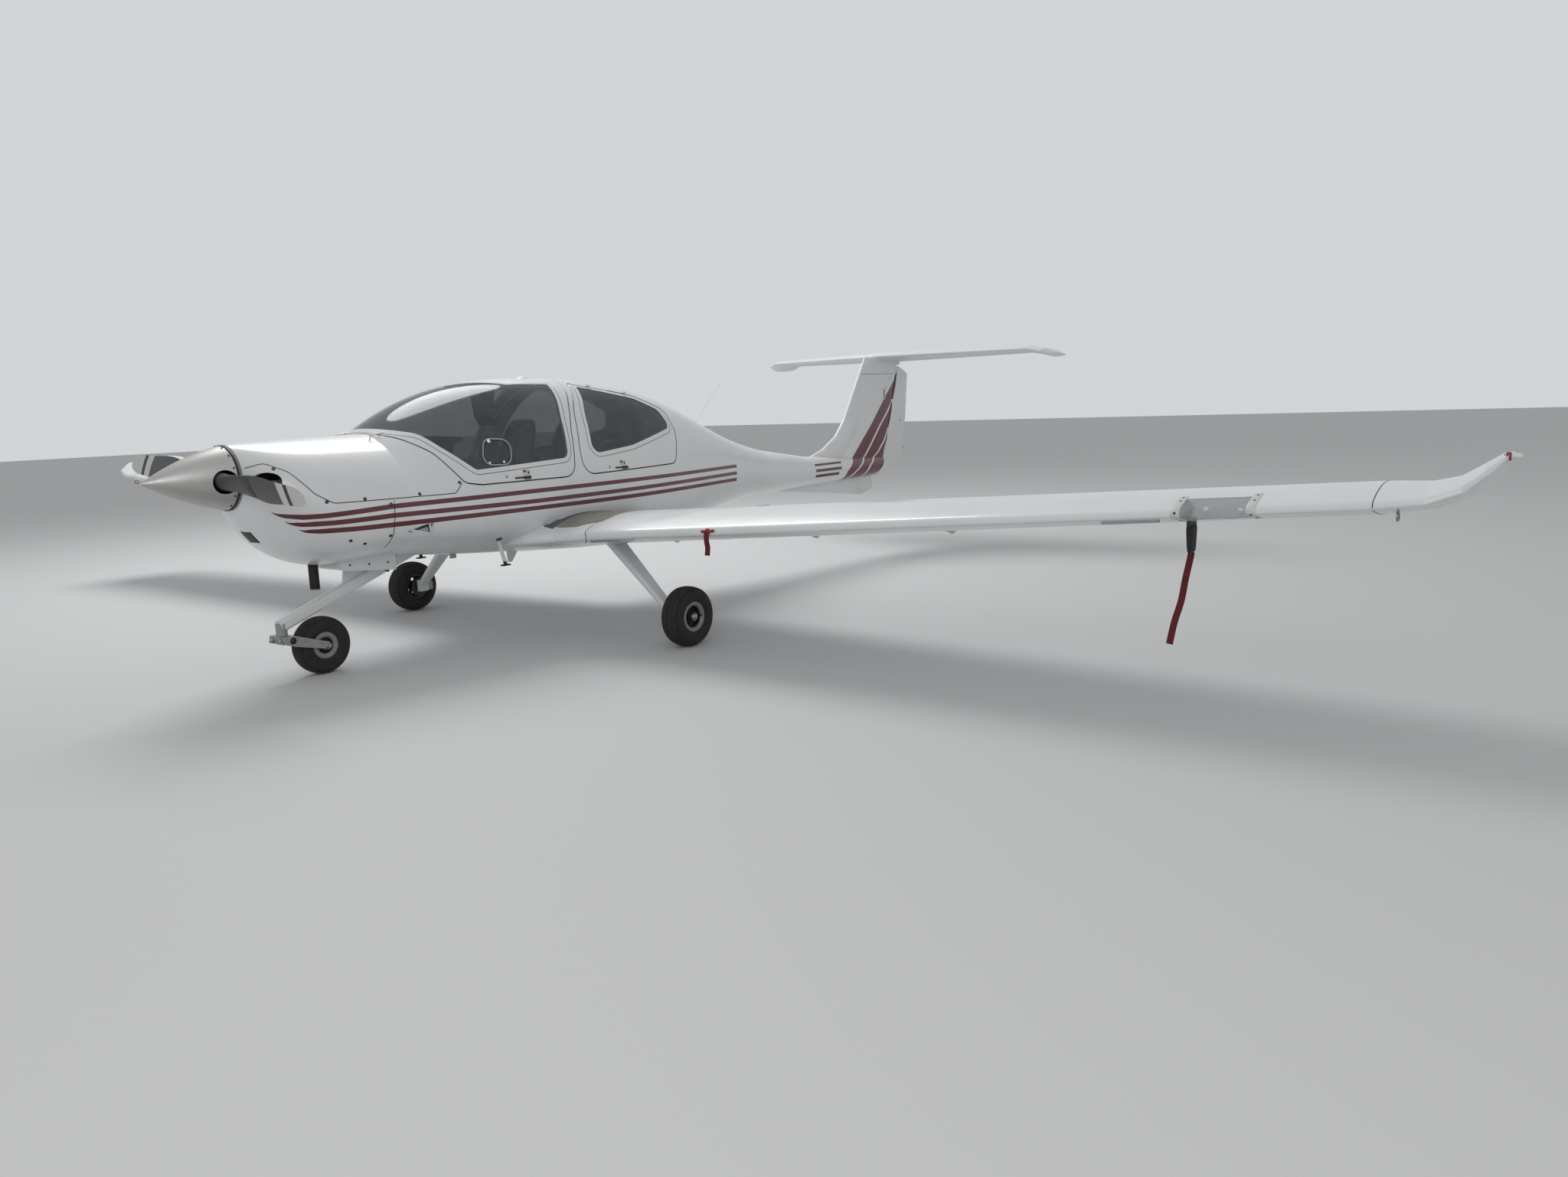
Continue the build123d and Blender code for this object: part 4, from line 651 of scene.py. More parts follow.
def tube(route, radius, count=12):
    """A round tube along points."""
    loops = []
    for k, point in enumerate(route):
        way = route[min(k + 1, len(route) - 1)] - route[max(k - 1, 0)]
        loops.append(circle(point, way, radius, count))
    return lofted(loops)


def ring(profile, foot, way, count=64):
    """A turned form with a hole: its profile closes on itself."""
    points, faces = turned(profile + profile[:1], foot, way, count)
    return points, faces[:-2]


def slab(outline, low, high, across=(0, 1, 0)):
    """An outline moved from low to high along across."""
    return lofted([[Vector(point) + Vector(across) * place for point in outline] for place in (low, high)])


class Skin:
    """The outside of CAD nodes, named, or of pieces, to lay other pieces on."""

    def __init__(self, *things):
        graph = bpy.context.evaluated_depsgraph_get()
        things = [frame["nodes"][thing] if isinstance(thing, str) else thing for thing in things]
        self.trees = [BVHTree.FromObject(thing, graph) for thing in things]

    def meet(self, start, way):
        """The first place that a line meets, and the direction out of it; nothing where it misses."""
        start, way = Vector(start), Vector(way).normalized()
        hits = [tree.ray_cast(start, way) for tree in self.trees]
        hits = [hit for hit in hits if hit[0] is not None]
        if not hits:
            return None
        spot, normal, _, _ = min(hits, key=lambda hit: hit[3])
        return spot, -normal if normal.dot(way) > 0 else normal

    def near(self, route, parts=8):
        """The places of the skin nearest to points along a route."""
        places = []
        for a, b in zip(route, route[1:]):
            for k in range(parts + (b is route[-1])):
                spots = [tree.find_nearest(a.lerp(b, k / parts)) for tree in self.trees]
                spot, normal, _, _ = min(spots, key=lambda hit: hit[3])
                places.append((spot, normal))
        return places

    def side(self, station, z, way):
        return self.meet(at(station, way * 8, z), (0, -way, 0))

    def top(self, station, y):
        return self.meet(at(station, y, 4), (0, 0, -1))

    def bottom(self, station, y):
        return self.meet(at(station, y, -1), (0, 0, 1))

    def round_section(self, station, y, z, turns, reach=0.5):
        """Places round a section across the Y axis, at angles in degrees from straight aft, up first."""
        centre = at(station, y, z)
        places = []
        for turn in turns:
            way = Vector((cos(radians(turn)), 0, sin(radians(turn))))
            places.append(self.meet(centre + way * reach, -way))
        return met(places)


def met(places):
    """Those places where a line met the skin."""
    return [place for place in places if place]


def strip(places, width, rise, closed=False, sink=0.001):
    """A low bead along places of a skin."""
    loops, count = [], len(places)
    for k, (spot, normal) in enumerate(places):
        before = places[k - 1][0] if closed or k else spot
        after = places[(k + 1) % count][0] if closed or k < count - 1 else spot
        across = normal.cross(after - before).normalized() * (width / 2)
        loops.append([spot - across - normal * sink, spot - across * 0.8 + normal * rise,
                      spot + across * 0.8 + normal * rise, spot + across - normal * sink])
    if closed:
        loops.append(loops[0])
    return lofted(loops, caps=not closed)


def strips(runs, width, rise):
    return [strip(run, width, rise) for run in runs]


def covering(rows, rise):
    """A sheet over rows of places of a skin."""
    loops = []
    for row in rows:
        loops.append([spot + normal * rise for spot, normal in row]
                     + [spot - normal * 0.002 for spot, normal in row[::-1]])
    return lofted(loops)


def rounded(rows, step=0.02):
    """Points along a closed outline of rows of station, height and corner radius."""
    corners = [Vector(row[:2]) for row in rows]
    points = []
    for k, (corner, row) in enumerate(zip(corners, rows)):
        back = (corners[k - 1] - corner).normalized()
        ahead = (corners[(k + 1) % len(rows)] - corner).normalized()
        half = acos(max(-1, min(1, back.dot(ahead)))) / 2
        reach = row[2] / tan(half)
        centre = corner + (back + ahead).normalized() * (row[2] / sin(half))
        start, end = corner + back * reach - centre, corner + ahead * reach - centre
        parts = max(2, int(start.angle(end) * row[2] / step) + 1)
        points += [centre + start.slerp(end, i / parts) * row[2] for i in range(parts + 1)]
    spread = []
    for k, point in enumerate(points):
        gap = points[(k + 1) % len(points)] - point
        parts = max(1, int(gap.length / step))
        spread += [point + gap * (i / parts) for i in range(parts)]
    return spread


def outward(points, offset):
    """A closed outline moved outwards."""
    middle = sum(points, Vector((0, 0))) / len(points)
    moved = []
    for k, point in enumerate(points):
        along = points[(k + 1) % len(points)] - points[k - 1]
        normal = Vector((-along.y, along.x)).normalized()
        if normal.dot(point - middle) < 0:
            normal = -normal
        moved.append(point + normal * offset)
    return moved


def laid(skin, points, way, ceiling=9.0):
    """Runs of places of side-view points on a skin, broken where a point misses or lies above the ceiling."""
    runs = [[]]
    for point in points:
        place = skin.side(point.x, point.y, way) if point.y < ceiling else None
        if place and place[0].y * way > 0.02:
            runs[-1].append(place)
        elif runs[-1]:
            runs.append([])
    return [run for run in runs if len(run) > 2]


def buttons(name, places, radius, rise, finish, body="airframe", count=16):
    """Domed round heads on places of a skin."""
    profile = [(radius, -0.001), (radius, rise * 0.4), (radius * 0.75, rise * 0.85), (radius * 0.3, rise)]
    return piece(name, [turned(profile, *place, count) for place in places], finish, body)


def flat_plate(spot, normal, along, outline, thickness, sink=0.001):
    """A small flat plate: its outline is distances along and up from its middle."""
    up = normal.cross(along)
    if up.z < 0:
        up = -up
    base = [spot + along * dx + up * dz - normal * sink for dx, dz in outline]
    return lofted([base, [point + normal * (thickness + sink) for point in base]])


def on_panel(skin, station, z, way, outline, thickness):
    """A flat plate on the side of a skin, its first distances aft."""
    spot, normal = skin.side(station, z, way)
    along = (AFT - normal * normal.x).normalized()
    return flat_plate(spot, normal, along, outline, thickness)


def box_outline(width, height, corner=0.0):
    """A rectangle about its middle, with cut corners."""
    w, h, c = width / 2, height / 2, corner
    if not c:
        return [(-w, -h), (w, -h), (w, h), (-w, h)]
    return [(-w + c, -h), (w - c, -h), (w, -h + c), (w, h - c),
            (w - c, h), (-w + c, h), (-w, h - c), (-w, -h + c)]


# Fuselage and glazing
def seals(rubber):
    """Thin dark lines of sealant round the panes, and down both sides of the roof's band."""
    canopy = Skin("canopy_frame")
    line = outward(rounded(CANOPY_PANE), SEAL_OFFSET)
    runs = []
    for _, way in SIDES:
        runs += laid(canopy, line, way, 1.70)
        band = []
        for k in range(41):
            out = 0.012 + 0.168 * min(1.0, k / 20) + 0.012 * k / 40
            band.append(canopy.top(2.06 + 0.64 * k / 40, way * out))
        runs.append(met(band))
    piece("canopy_seal_lines", strips(runs, SEAL_WIDTH, SEAL_RISE), rubber, "canopy")
    line = outward(rounded(DOOR_PANE), SEAL_OFFSET)
    for name, node, way, body in (("door_seal_line", "rear_door_frame", PORT, "rear_door"),
                                  ("rear_window_seal_line", "fuselage_shell", STARBOARD, "airframe")):
        piece(name, strips(laid(Skin(node), line, way), SEAL_WIDTH, SEAL_RISE), rubber, body)


def gaskets_and_gap_shade(rubber):
    """Dark rubber strips on the fuselage side of the gaps round the canopy and the rear door; they also paint
    the shade in the gaps.
    """
    skin = Skin("fuselage_shell", "upper_cowl")
    runs = []
    for panel, ways in ((CANOPY_PANEL, (PORT, STARBOARD)), (DOOR_PANEL, (PORT,))):
        edge = outward(rounded(panel), GAP_STRIP_OFFSET)
        for way in ways:
            runs += laid(skin, edge, way, 1.66)
    piece("gap_gaskets_and_shade", strips(runs, 0.004, 0.0006), rubber)


def storm_windows(trim, rubber, chrome):
    """A small hinged pane in each side of the canopy: its ring, seal, latch and hinges."""
    glass = Skin("canopy_glass")
    for side, way in SIDES:
        rim = laid(glass, rounded(STORM_WINDOW), way)[0]
        shape = strip(rim, 0.009, 0.0025, closed=True, sink=0.0005)
        piece(f"storm_window_ring_{side}", [shape], trim, "canopy")
        inner = laid(glass, outward(rounded(STORM_WINDOW), -0.008), way)[0]
        shape = strip(inner, 0.003, 0.0012, closed=True)
        piece(f"storm_window_seal_{side}", [shape], rubber, "canopy")
        latch = glass.side(1.93, 1.345, way)
        shapes = [turned([(0.014, -0.001), (0.014, 0.008), (0.010, 0.014), (0.004, 0.016)], *latch, 24)]
        for station in (1.89, 2.0):
            hinge = glass.side(station, 1.214, way)
            shapes.append(turned([(0.009, -0.001), (0.009, 0.005), (0.005, 0.007)], *hinge, 16))
        piece(f"storm_window_latch_{side}", shapes, chrome, "canopy")


def handles(dark, plate_white, plate_brown, steel):
    """Door and canopy levers, their locks and the plates above them."""
    for name, node, body, way, station, z, lock, plate in LEVERS:
        skin = Skin(node)
        boxes = ((f"{name}_lever", dark, ((station - 0.028, z + 0.002, 0.072, 0.010, 0.003, 0.006),
                                          (station + 0.034, z - 0.001, 0.052, 0.020, 0.004, 0.011))),
                 (f"{name}_plate", plate_white, ((plate, z + 0.034, 0.058, 0.034, 0.003, 0.0008),)),
                 (f"{name}_plate_patches", plate_brown, (
                     (plate - 0.012, z + 0.041, 0.026, 0.014, 0.0, 0.0014),
                     (plate + 0.018, z + 0.030, 0.014, 0.016, 0.0, 0.0014))))
        for part, finish, rows in boxes:
            shapes = [on_panel(skin, x, height, way, box_outline(long, tall, corner), thick)
                      for x, height, long, tall, corner, thick in rows]
            piece(part, shapes, finish, body, smooth=False)
        buttons(f"{name}_lock", [skin.side(*lock, way)], 0.009, 0.004, steel, body, 24)


def fuselage_fittings(dark, rubber, steel, trim):
    """Fasteners, seams and inlets of the cowls; the chin slot, a vent, the belly drain and a hose."""
    cowls = Skin("upper_cowl", "lower_cowl", "fuselage_shell")
    for side, way in SIDES:
        places = [cowls.side(station, z, way) for station, z in FASTENERS]
        buttons(f"cowl_fasteners_{side}", places, 0.0105, 0.003, dark)
        slot = box_outline(0.012, 0.002)
        slots = [on_panel(cowls, station, z, way, slot, 0.0036) for station, z in FASTENERS]
        piece(f"cowl_fastener_slots_{side}", slots, steel, smooth=False)
        split = laid(Skin("upper_cowl"), outward(rounded(COWL_SPLIT), -0.0035), way, 1.50)
        rear = [at(station, way * y, z) for station, y, z in COWL_REAR_SEAM]
        split.append(cowls.near(smooth_route(rear, 4), 3))
        piece(f"cowl_seams_{side}", strips(split, 0.0055, 0.0007), dark)
        # The flush inlets' dark plates are painted shade for the recess round the lighter ramp.
        for name, outline, rise, finish in (("inlet", INLET_PLATE, 0.0012, dark),
                                            ("inlet_ramp", INLET_RAMP, 0.0020, trim)):
            shape = on_panel(cowls, *INLET_PLACE, way, outline, rise)
            piece(f"flush_{name}_{side}", [shape], finish, smooth=False)
    # The chin slot is a flat dark strip on the skin: painted shade for the inside of the opening.
    chin = cowls.near([at(0.548, 0.0, 0.905), at(0.575, 0.0, 0.870), at(0.602, 0.0, 0.840)])
    piece("chin_slot", [strip(chin, 0.11, 0.0012)], dark)
    shell = Skin("fuselage_shell")
    disc = [(0.021, -0.001), (0.021, 0.002), (0.018, 0.003), (0.006, 0.003), (0.005, 0.0)]
    piece("static_vent_disc", [turned(disc, *shell.side(1.967, 0.722, PORT), 32)], dark)
    drain = [at(1.86, -0.10, 0.0), at(1.90, -0.10, 0.0), at(1.90, -0.082, 0.0), at(1.86, -0.082, 0.0)]
    belly = shell.bottom(1.88, -0.091)[0].z
    piece("belly_drain", [slab(drain, belly + 0.004, belly - 0.028, (0, 0, 1))], trim, smooth=False)
    hose = [at(1.28, -0.09, 0.66), at(1.31, -0.095, 0.632), at(1.345, -0.10, 0.604), at(1.385, -0.10, 0.578)]
    piece("cowl_drain_hose", [tube(hose, 0.013)], rubber)


# Cabin
def superellipse(share, power=2.6):
    """A point of a squarish unit ring, at a share of the way round."""
    c, s = cos(share * tau), sin(share * tau)
    return abs(c) ** (2 / power) * (1 if c >= 0 else -1), abs(s) ** (2 / power) * (1 if s >= 0 else -1)


def pad_form(route, y, count=40):
    """A crowned pad along a route in side view: rows of station, height, half width and half thickness."""
    loops = []
    for k, (station, z, half, thick) in enumerate(route):
        before, after = route[max(k - 1, 0)], route[min(k + 1, len(route) - 1)]
        way = Vector((after[0] - before[0], 0, after[1] - before[1])).normalized()
        normal = Vector((-way.z, 0, way.x))
        loop = []
        for i in range(count):
            c, s = superellipse(i / count)
            loop.append(at(station, y + c * half, z) + normal * s * thick)
        loops.append(loop)
    return lofted(loops)


def eased_route(start, end, half, thick, end_half, rows=15):
    """Rows of a pad from start to end whose ends round off."""
    route = []
    for k in range(rows):
        share = k / (rows - 1)
        place = 0.5 - 0.5 * cos(pi * share)
        fall = max(0.0, 1 - abs(2 * place - 1) ** 5) ** 0.45
        wide = half + (end_half - half) * place ** 2
        station, z = (a + (b - a) * place for a, b in zip(start, end))
        route.append((station, z, max(wide * (0.62 + 0.38 * fall), 0.01), max(thick * fall, 0.006)))
    return route


def swollen(thing):
    """Cloth inflated by pressure, each point moving no further than the cap."""
    modified(thing, "REMESH", mode="VOXEL", voxel_size=CLOTH_VOXEL, use_smooth_shade=True)
    rest = [vertex.co.copy() for vertex in thing.data.vertices]
    cloth = thing.modifiers.new("cloth", "CLOTH")
    cloth.settings.use_pressure = True
    cloth.settings.uniform_pressure_force = CLOTH_PRESSURE
    cloth.settings.quality = 4
    cloth.settings.effector_weights.gravity = 0
    scene = bpy.context.scene
    for step in range(1, CLOTH_FRAMES + 1):
        scene.frame_set(step)
    graph = bpy.context.evaluated_depsgraph_get()
    mesh = bpy.data.meshes.new_from_object(thing.evaluated_get(graph))
    thing.modifiers.clear()
    for vertex, start in zip(mesh.vertices, rest):
        move = vertex.co - start
        if move.length > CLOTH_CAP:
            vertex.co = start + move.normalized() * CLOTH_CAP
    thing.data = mesh
    scene.frame_set(1)
    for face in thing.data.polygons:
        face.use_smooth = True
    return thing


def cushion(name, route, y, hide, node):
    thing = piece(name, [pad_form(route, y)], hide)
    swollen(thing)
    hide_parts(node)
    return thing


def seat_shell(node, outline, y, half, finish):
    """The moulding under the cushions: an outline of station and height, half its width to each side of y."""
    foot = [at(station, y - half, z) for station, z in outline]
    shell = piece(f"{node}_shell", [slab(foot, 0.0, 2 * half)], finish)
    modified(shell, "BEVEL", width=0.012, segments=3, limit_method="ANGLE")
    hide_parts(node)


def piping(name, cushions, lines, finish, width=0.006, rise=0.0025):
    """Beads of piping along straight lines over cushions: start, end, and the way towards the cushion."""
    skin = Skin(*cushions)
    runs = [met([skin.meet(start.lerp(end, k / 48), way) for k in range(49)]) for start, end, way in lines]
    return piece(name, strips([run for run in runs if len(run) > 2], width, rise), finish)


def front_seat(side, way, hide, moulding, belt, chrome):
    """A moulded shell with a padded base and back, as tall as the shoulders, and its belts."""
    y, node = way * SEAT_Y, f"front_seat_{side}"
    base_route = eased_route((2.15, 0.815), (2.59, 0.772), 0.20, 0.046, 0.205)
    back_route = eased_route((2.605, 0.80), (2.862, 1.482), 0.205, 0.050, 0.155, 19)
    base = cushion(f"{node}_base_cushion", base_route, y, hide, node)
    back = cushion(f"{node}_back_cushion", back_route, y, hide, node)
    seat_shell(node, FRONT_SHELL, y, 0.205, moulding)
    lines = [(at(2.17, y + dy, 1.0), at(2.56, y + dy, 1.0), DOWN) for dy in (-0.12, 0.12)]
    lines += [(at(2.2, y + dy, 0.92), at(2.45, y + dy, 1.45), INTO_BACK) for dy in (-0.12, 0.12)]
    lines += [(at(2.36, y - 0.118, 1.28), at(2.36, y + 0.118, 1.28), INTO_BACK)]
    piping(f"{node}_piping", [base, back], lines, hide)
    straps = [(at(2.2, y + dy, 0.86), at(2.42, y + dy * 0.62, 1.47), INTO_BACK) for dy in (-0.085, 0.085)]
    straps += [(at(2.45, y - 0.19, 1.0), at(2.42, y + 0.19, 1.0), DOWN)]
    piping(f"{node}_belts", [base, back], straps, belt, 0.046, 0.0045)
    spot = Skin(base).meet(at(2.43, y, 1.2), DOWN)[0] + Vector((0, 0, 0.003))
    corners = [(-0.022, -0.026), (0.022, -0.026), (0.026, 0.026), (-0.026, 0.026)]
    clasp = slab([spot + Vector((dx, dy, 0)) for dx, dy in corners], 0.0, 0.013, (0, 0, 1))
    modified(piece(f"{node}_buckle", [clasp], chrome), "BEVEL", width=0.003, segments=2, limit_method="ANGLE")


def rear_seat(hide, moulding):
    """One base, two backs and their moulded shell."""
    node = "rear_seat"
    base_route = eased_route((3.155, 0.832), (3.50, 0.795), 0.43, 0.044, 0.41)
    cushions = [cushion("rear_seat_base_cushion", base_route, 0.0, hide, node)]
    for side, way in SIDES:
        route = eased_route((3.525, 0.82), (3.685, 1.300), 0.195, 0.046, 0.165, 17)
        cushions.append(cushion(f"rear_seat_back_cushion_{side}", route, way * 0.198, hide, node))
    seat_shell(node, REAR_SHELL, 0.0, 0.37, moulding)
    lines = [(at(3.17, y, 1.0), at(3.48, y, 1.0), DOWN) for y in (-0.30, -0.15, 0.0, 0.15, 0.30)]
    lines += [(at(3.2, y, 0.95), at(3.38, y, 1.32), INTO_BACK) for y in (-0.30, -0.10, 0.10, 0.30)]
    piping("rear_seat_piping", cushions, lines, hide)


def cabin_details(dark, screen, trim, rubber, chrome):
    """Displays, round gauges and knobs on the panel, gaiters round the sticks, and the sun visor."""
    panel = Skin("instrument_panel")
    bezels, faces, knobs = [], [], []
    for y in (-0.255, -0.02):
        place = panel.meet(at(CABIN_MIDDLE, y, 1.20), FORWARD)
        bezels.append(flat_plate(*place, Vector((0, 1, 0)), box_outline(0.20, 0.15, 0.008), 0.008, 0.002))
        faces.append(flat_plate(*place, Vector((0, 1, 0)), box_outline(0.172, 0.118), 0.0095, 0.002))
    gauge = 0.032
    for z in (1.25, 1.165):
        for y in (0.16, 0.24, 0.32):
            place = panel.meet(at(CABIN_MIDDLE, y, z), FORWARD)
            rim = [(gauge + 0.006, -0.002), (gauge + 0.006, 0.005), (gauge, 0.007), (gauge, 0.002)]
            bezels.append(turned(rim, *place, 32))
            faces.append(turned([(gauge, 0.001), (gauge * 0.98, 0.0045), (0.004, 0.0050)], *place, 32))
    for k in range(7):
        place = panel.meet(at(CABIN_MIDDLE, -0.33 + 0.11 * k, 1.075), FORWARD)
        knobs.append(turned([(0.012, -0.001), (0.011, 0.014), (0.007, 0.018)], *place, 20))
    piece("panel_bezels", bezels, trim)
    piece("panel_faces", faces, screen)
    piece("panel_knobs", knobs, chrome)
    for side, way in SIDES:
        gaiter = turned(GAITER, at(2.078, way * SEAT_Y, CABIN_FLOOR), (-0.19, 0, 1), 28)
        piece(f"stick_gaiter_{side}", [gaiter], rubber)
    outline = [at(station, -0.075, z) for station, z in VISOR]
    visor = piece("sun_visor", [slab(outline, 0.0, 0.15)], dark, "canopy")
    modified(visor, "BEVEL", width=0.006, segments=3, limit_method="ANGLE")


# Wings and tail
def walkways(mat, border):
    """On each wing root a sheet of grit, and a dark band along the fuselage that narrows aft."""
    for side, way in SIDES:
        skin = Skin(f"wing_{side}")
        sheet = []
        for i in range(33):
            share = i / 32
            front = 2.275 + 0.055 * min(1.0, share * 1.5) + 0.20 * max(0.0, share - 0.62) ** 0.8
            y = way * (0.600 + 0.350 * share)
            row = [at(front + (3.18 - front) * k / 40, y, ROOT_CAST) for k in range(41)]
            sheet.append([skin.meet(point, DOWN) for point in row])
        piece(f"walkway_mat_{side}", [covering(sheet, 0.0014)], mat)
        sheet = []
        for k in range(49):
            share = k / 48
            station, wide = 2.262 + 0.92 * share, 0.085 - 0.068 * share
            row = [at(station, way * (0.563 + wide * i / 6), ROOT_CAST) for i in range(7)]
            sheet.append([skin.meet(point, DOWN) for point in row])
        piece(f"walkway_band_{side}", [covering(sheet, 0.0020)], border)


def wing_fittings(aluminium, dark, frame_white, steel):
    """Leading edge strips, seams, landing light frames, fuel caps and inspection covers of both wings."""
    for side, way in SIDES:
        wing = Skin(f"wing_{side}")
        runs = []
        for inner, outer in ((0.945, 1.196), (4.34, 4.61)):
            run = []
            for k in range(15):
                y = inner + (outer - inner) * k / 14
                run.append(wing.meet(at(1.5, way * y, 0.690 + (y - 0.945) * 0.0665), AFT))
            runs.append(run)
        piece(f"stall_strips_{side}", strips(runs, 0.020, 0.010), aluminium, smooth=False)

        root = Skin(f"wing_{side}", "fuselage_shell")
        route = smooth_route([at(station, way * y, z) for station, y, z in STUB_SEAM], 4)
        piece(f"stub_seam_{side}", [strip(root.near(route, 3), 0.006, 0.0008)], dark)

        lights = Skin(f"wing_{side}", f"landing_light_lens_{side}")
        runs = [lights.round_section(LEADING_CENTRE, way * y, 0.985, range(80, 281, 5))
                for y in (4.702, 5.028)]
        piece(f"light_frames_{side}", strips(runs, 0.046, 0.0016), frame_white)
        screws = [(spot + normal * 0.0016, normal) for run in runs for spot, normal in run[3::9]]
        buttons(f"light_frame_screws_{side}", screws, 0.006, 0.0015, dark, count=12)

        tip = Skin(f"wing_{side}", f"wing_tip_{side}")
        joint = way * TIP_JOINT
        stations = [LEADING_CENTRE + (3.20 - LEADING_CENTRE) * k / 24 for k in range(25)]
        runs = [tip.round_section(LEADING_CENTRE, joint, 1.010, range(90, 271, 5)),
                met([tip.top(station, joint) for station in stations]),
                met([tip.bottom(station, joint) for station in stations])]
        piece(f"tip_seam_{side}", strips(runs, 0.005, 0.0006), dark)

        piece(f"fuel_cap_{side}", [turned(FUEL_CAP, *wing.top(2.72, way * 2.05), 40)], aluminium)
        places = [wing.bottom(station, way * y) for station, y in ((2.75, 1.75), (2.85, 3.0), (2.85, 4.3))]
        cover = [(0.062, -0.001), (0.062, 0.001), (0.058, 0.0016), (0.01, 0.0018)]
        piece(f"inspection_covers_{side}", [turned(cover, *place, 40) for place in places], frame_white)
        screws = [(spot + normal * 0.0014, normal) for middle, normal in places
                  for spot in circle(middle, normal, 0.05, 6)]
        buttons(f"inspection_screws_{side}", screws, 0.004, 0.001, steel, count=10)


def static_wick(name, start, reach, body, dark):
    """A thin rod with a thicker root that trails from an edge."""
    root = tube([start - reach * 0.12, start + reach * 0.35], 0.0035, 10)
    rod = tube([start + reach * 0.3, start + reach], 0.0018, 8)
    piece(name, [root, rod], dark, body)


def tail_fittings(dark, frame_white):
    """The fin cap's seam, hinge plates, screws and static wicks."""
    fin, rudder = Skin("fin"), Skin("rudder")
    runs = [met([fin.side(6.84 + 0.60 * k / 24, 1.772, way) for k in range(25)]) for _, way in SIDES]
    piece("fin_cap_seams", strips(runs, 0.004, 0.0006), dark)
    for side, way in SIDES:
        plate = on_panel(fin, 7.235, 1.575, way, HINGE_PLATE, 0.002)
        piece(f"rudder_hinge_plate_{side}", [plate], frame_white, smooth=False)
        slot = on_panel(fin, 7.222, 1.575, way, HINGE_SLOT, 0.0035)
        piece(f"rudder_hinge_slot_{side}", [slot], dark, smooth=False)
        screws = [fin.side(station, z, way) for station, z in ((7.30, 1.80), (7.34, 1.73), (7.27, 1.64))]
        buttons(f"fin_screws_{side}", screws, 0.006, 0.0015, dark, count=12)
        buttons(f"rudder_plug_{side}", [rudder.side(7.565, 1.30, way)], 0.010, 0.002, dark, "rudder")
    static_wick("rudder_wick", at(7.60, 0.0, 1.030), Vector((0.075, 0, -0.010)), "rudder", dark)
    for side, way in SIDES:
        foot = at(7.988, way * 1.30, 1.9395)
        static_wick(f"elevator_wick_{side}", foot, Vector((0.017, 0, 0.0)), "elevator", dark)


# Wheels and gear
def bolt_ring(centre, way, radius, count, size, height, start=0.0):
    """Six-sided heads round a centre."""
    head = [(size, -0.001), (size, height * 0.7), (size * 0.8, height)]
    return [turned(head, spot, way, 6) for spot in circle(centre, way, radius, count, start)]


def main_wheel_fittings(steel, dark, rim_paint):
    """Axle caps and bolts, rim flanges, valves and brake hoses."""
    station, out, z, _, _, rim = MAIN_WHEEL
    flange = [(rim + 0.004, 0.046), (rim + 0.006, 0.060), (rim - 0.004, 0.0635), (rim - 0.014, 0.060),
              (rim - 0.023, 0.050), (rim - 0.023, 0.044)]
    cap = [(0.026, 0.055), (0.026, 0.063), (0.021, 0.070), (0.010, 0.0745), (0.002, 0.075)]
    for side, way in SIDES:
        outwards, body = Vector((0, way, 0)), f"main_wheel_{side}"
        centre = at(station, way * out, z)
        shapes = bolt_ring(at(station, way * (out + 0.006), z), outwards, 0.057, 5, 0.0065, 0.008, pi / 5)
        shapes.append(turned(cap, centre, outwards, 32))
        piece(f"main_wheel_cap_{side}", shapes, steel, body)
        piece(f"main_rim_flange_{side}", [ring(flange, centre, outwards)], rim_paint, body, slot="aluminium")
        valve = [at(station + 0.070, way * (out + 0.04), z), at(station + 0.066, way * (out + 0.068), z)]
        piece(f"main_valve_{side}", [tube(valve, 0.004, 10)], dark, body)
        hose = [at(aft, way * y, height) for aft, y, height in BRAKE_HOSE]
        piece(f"brake_hose_{side}", [tube(hose, 0.0045, 10)], dark)


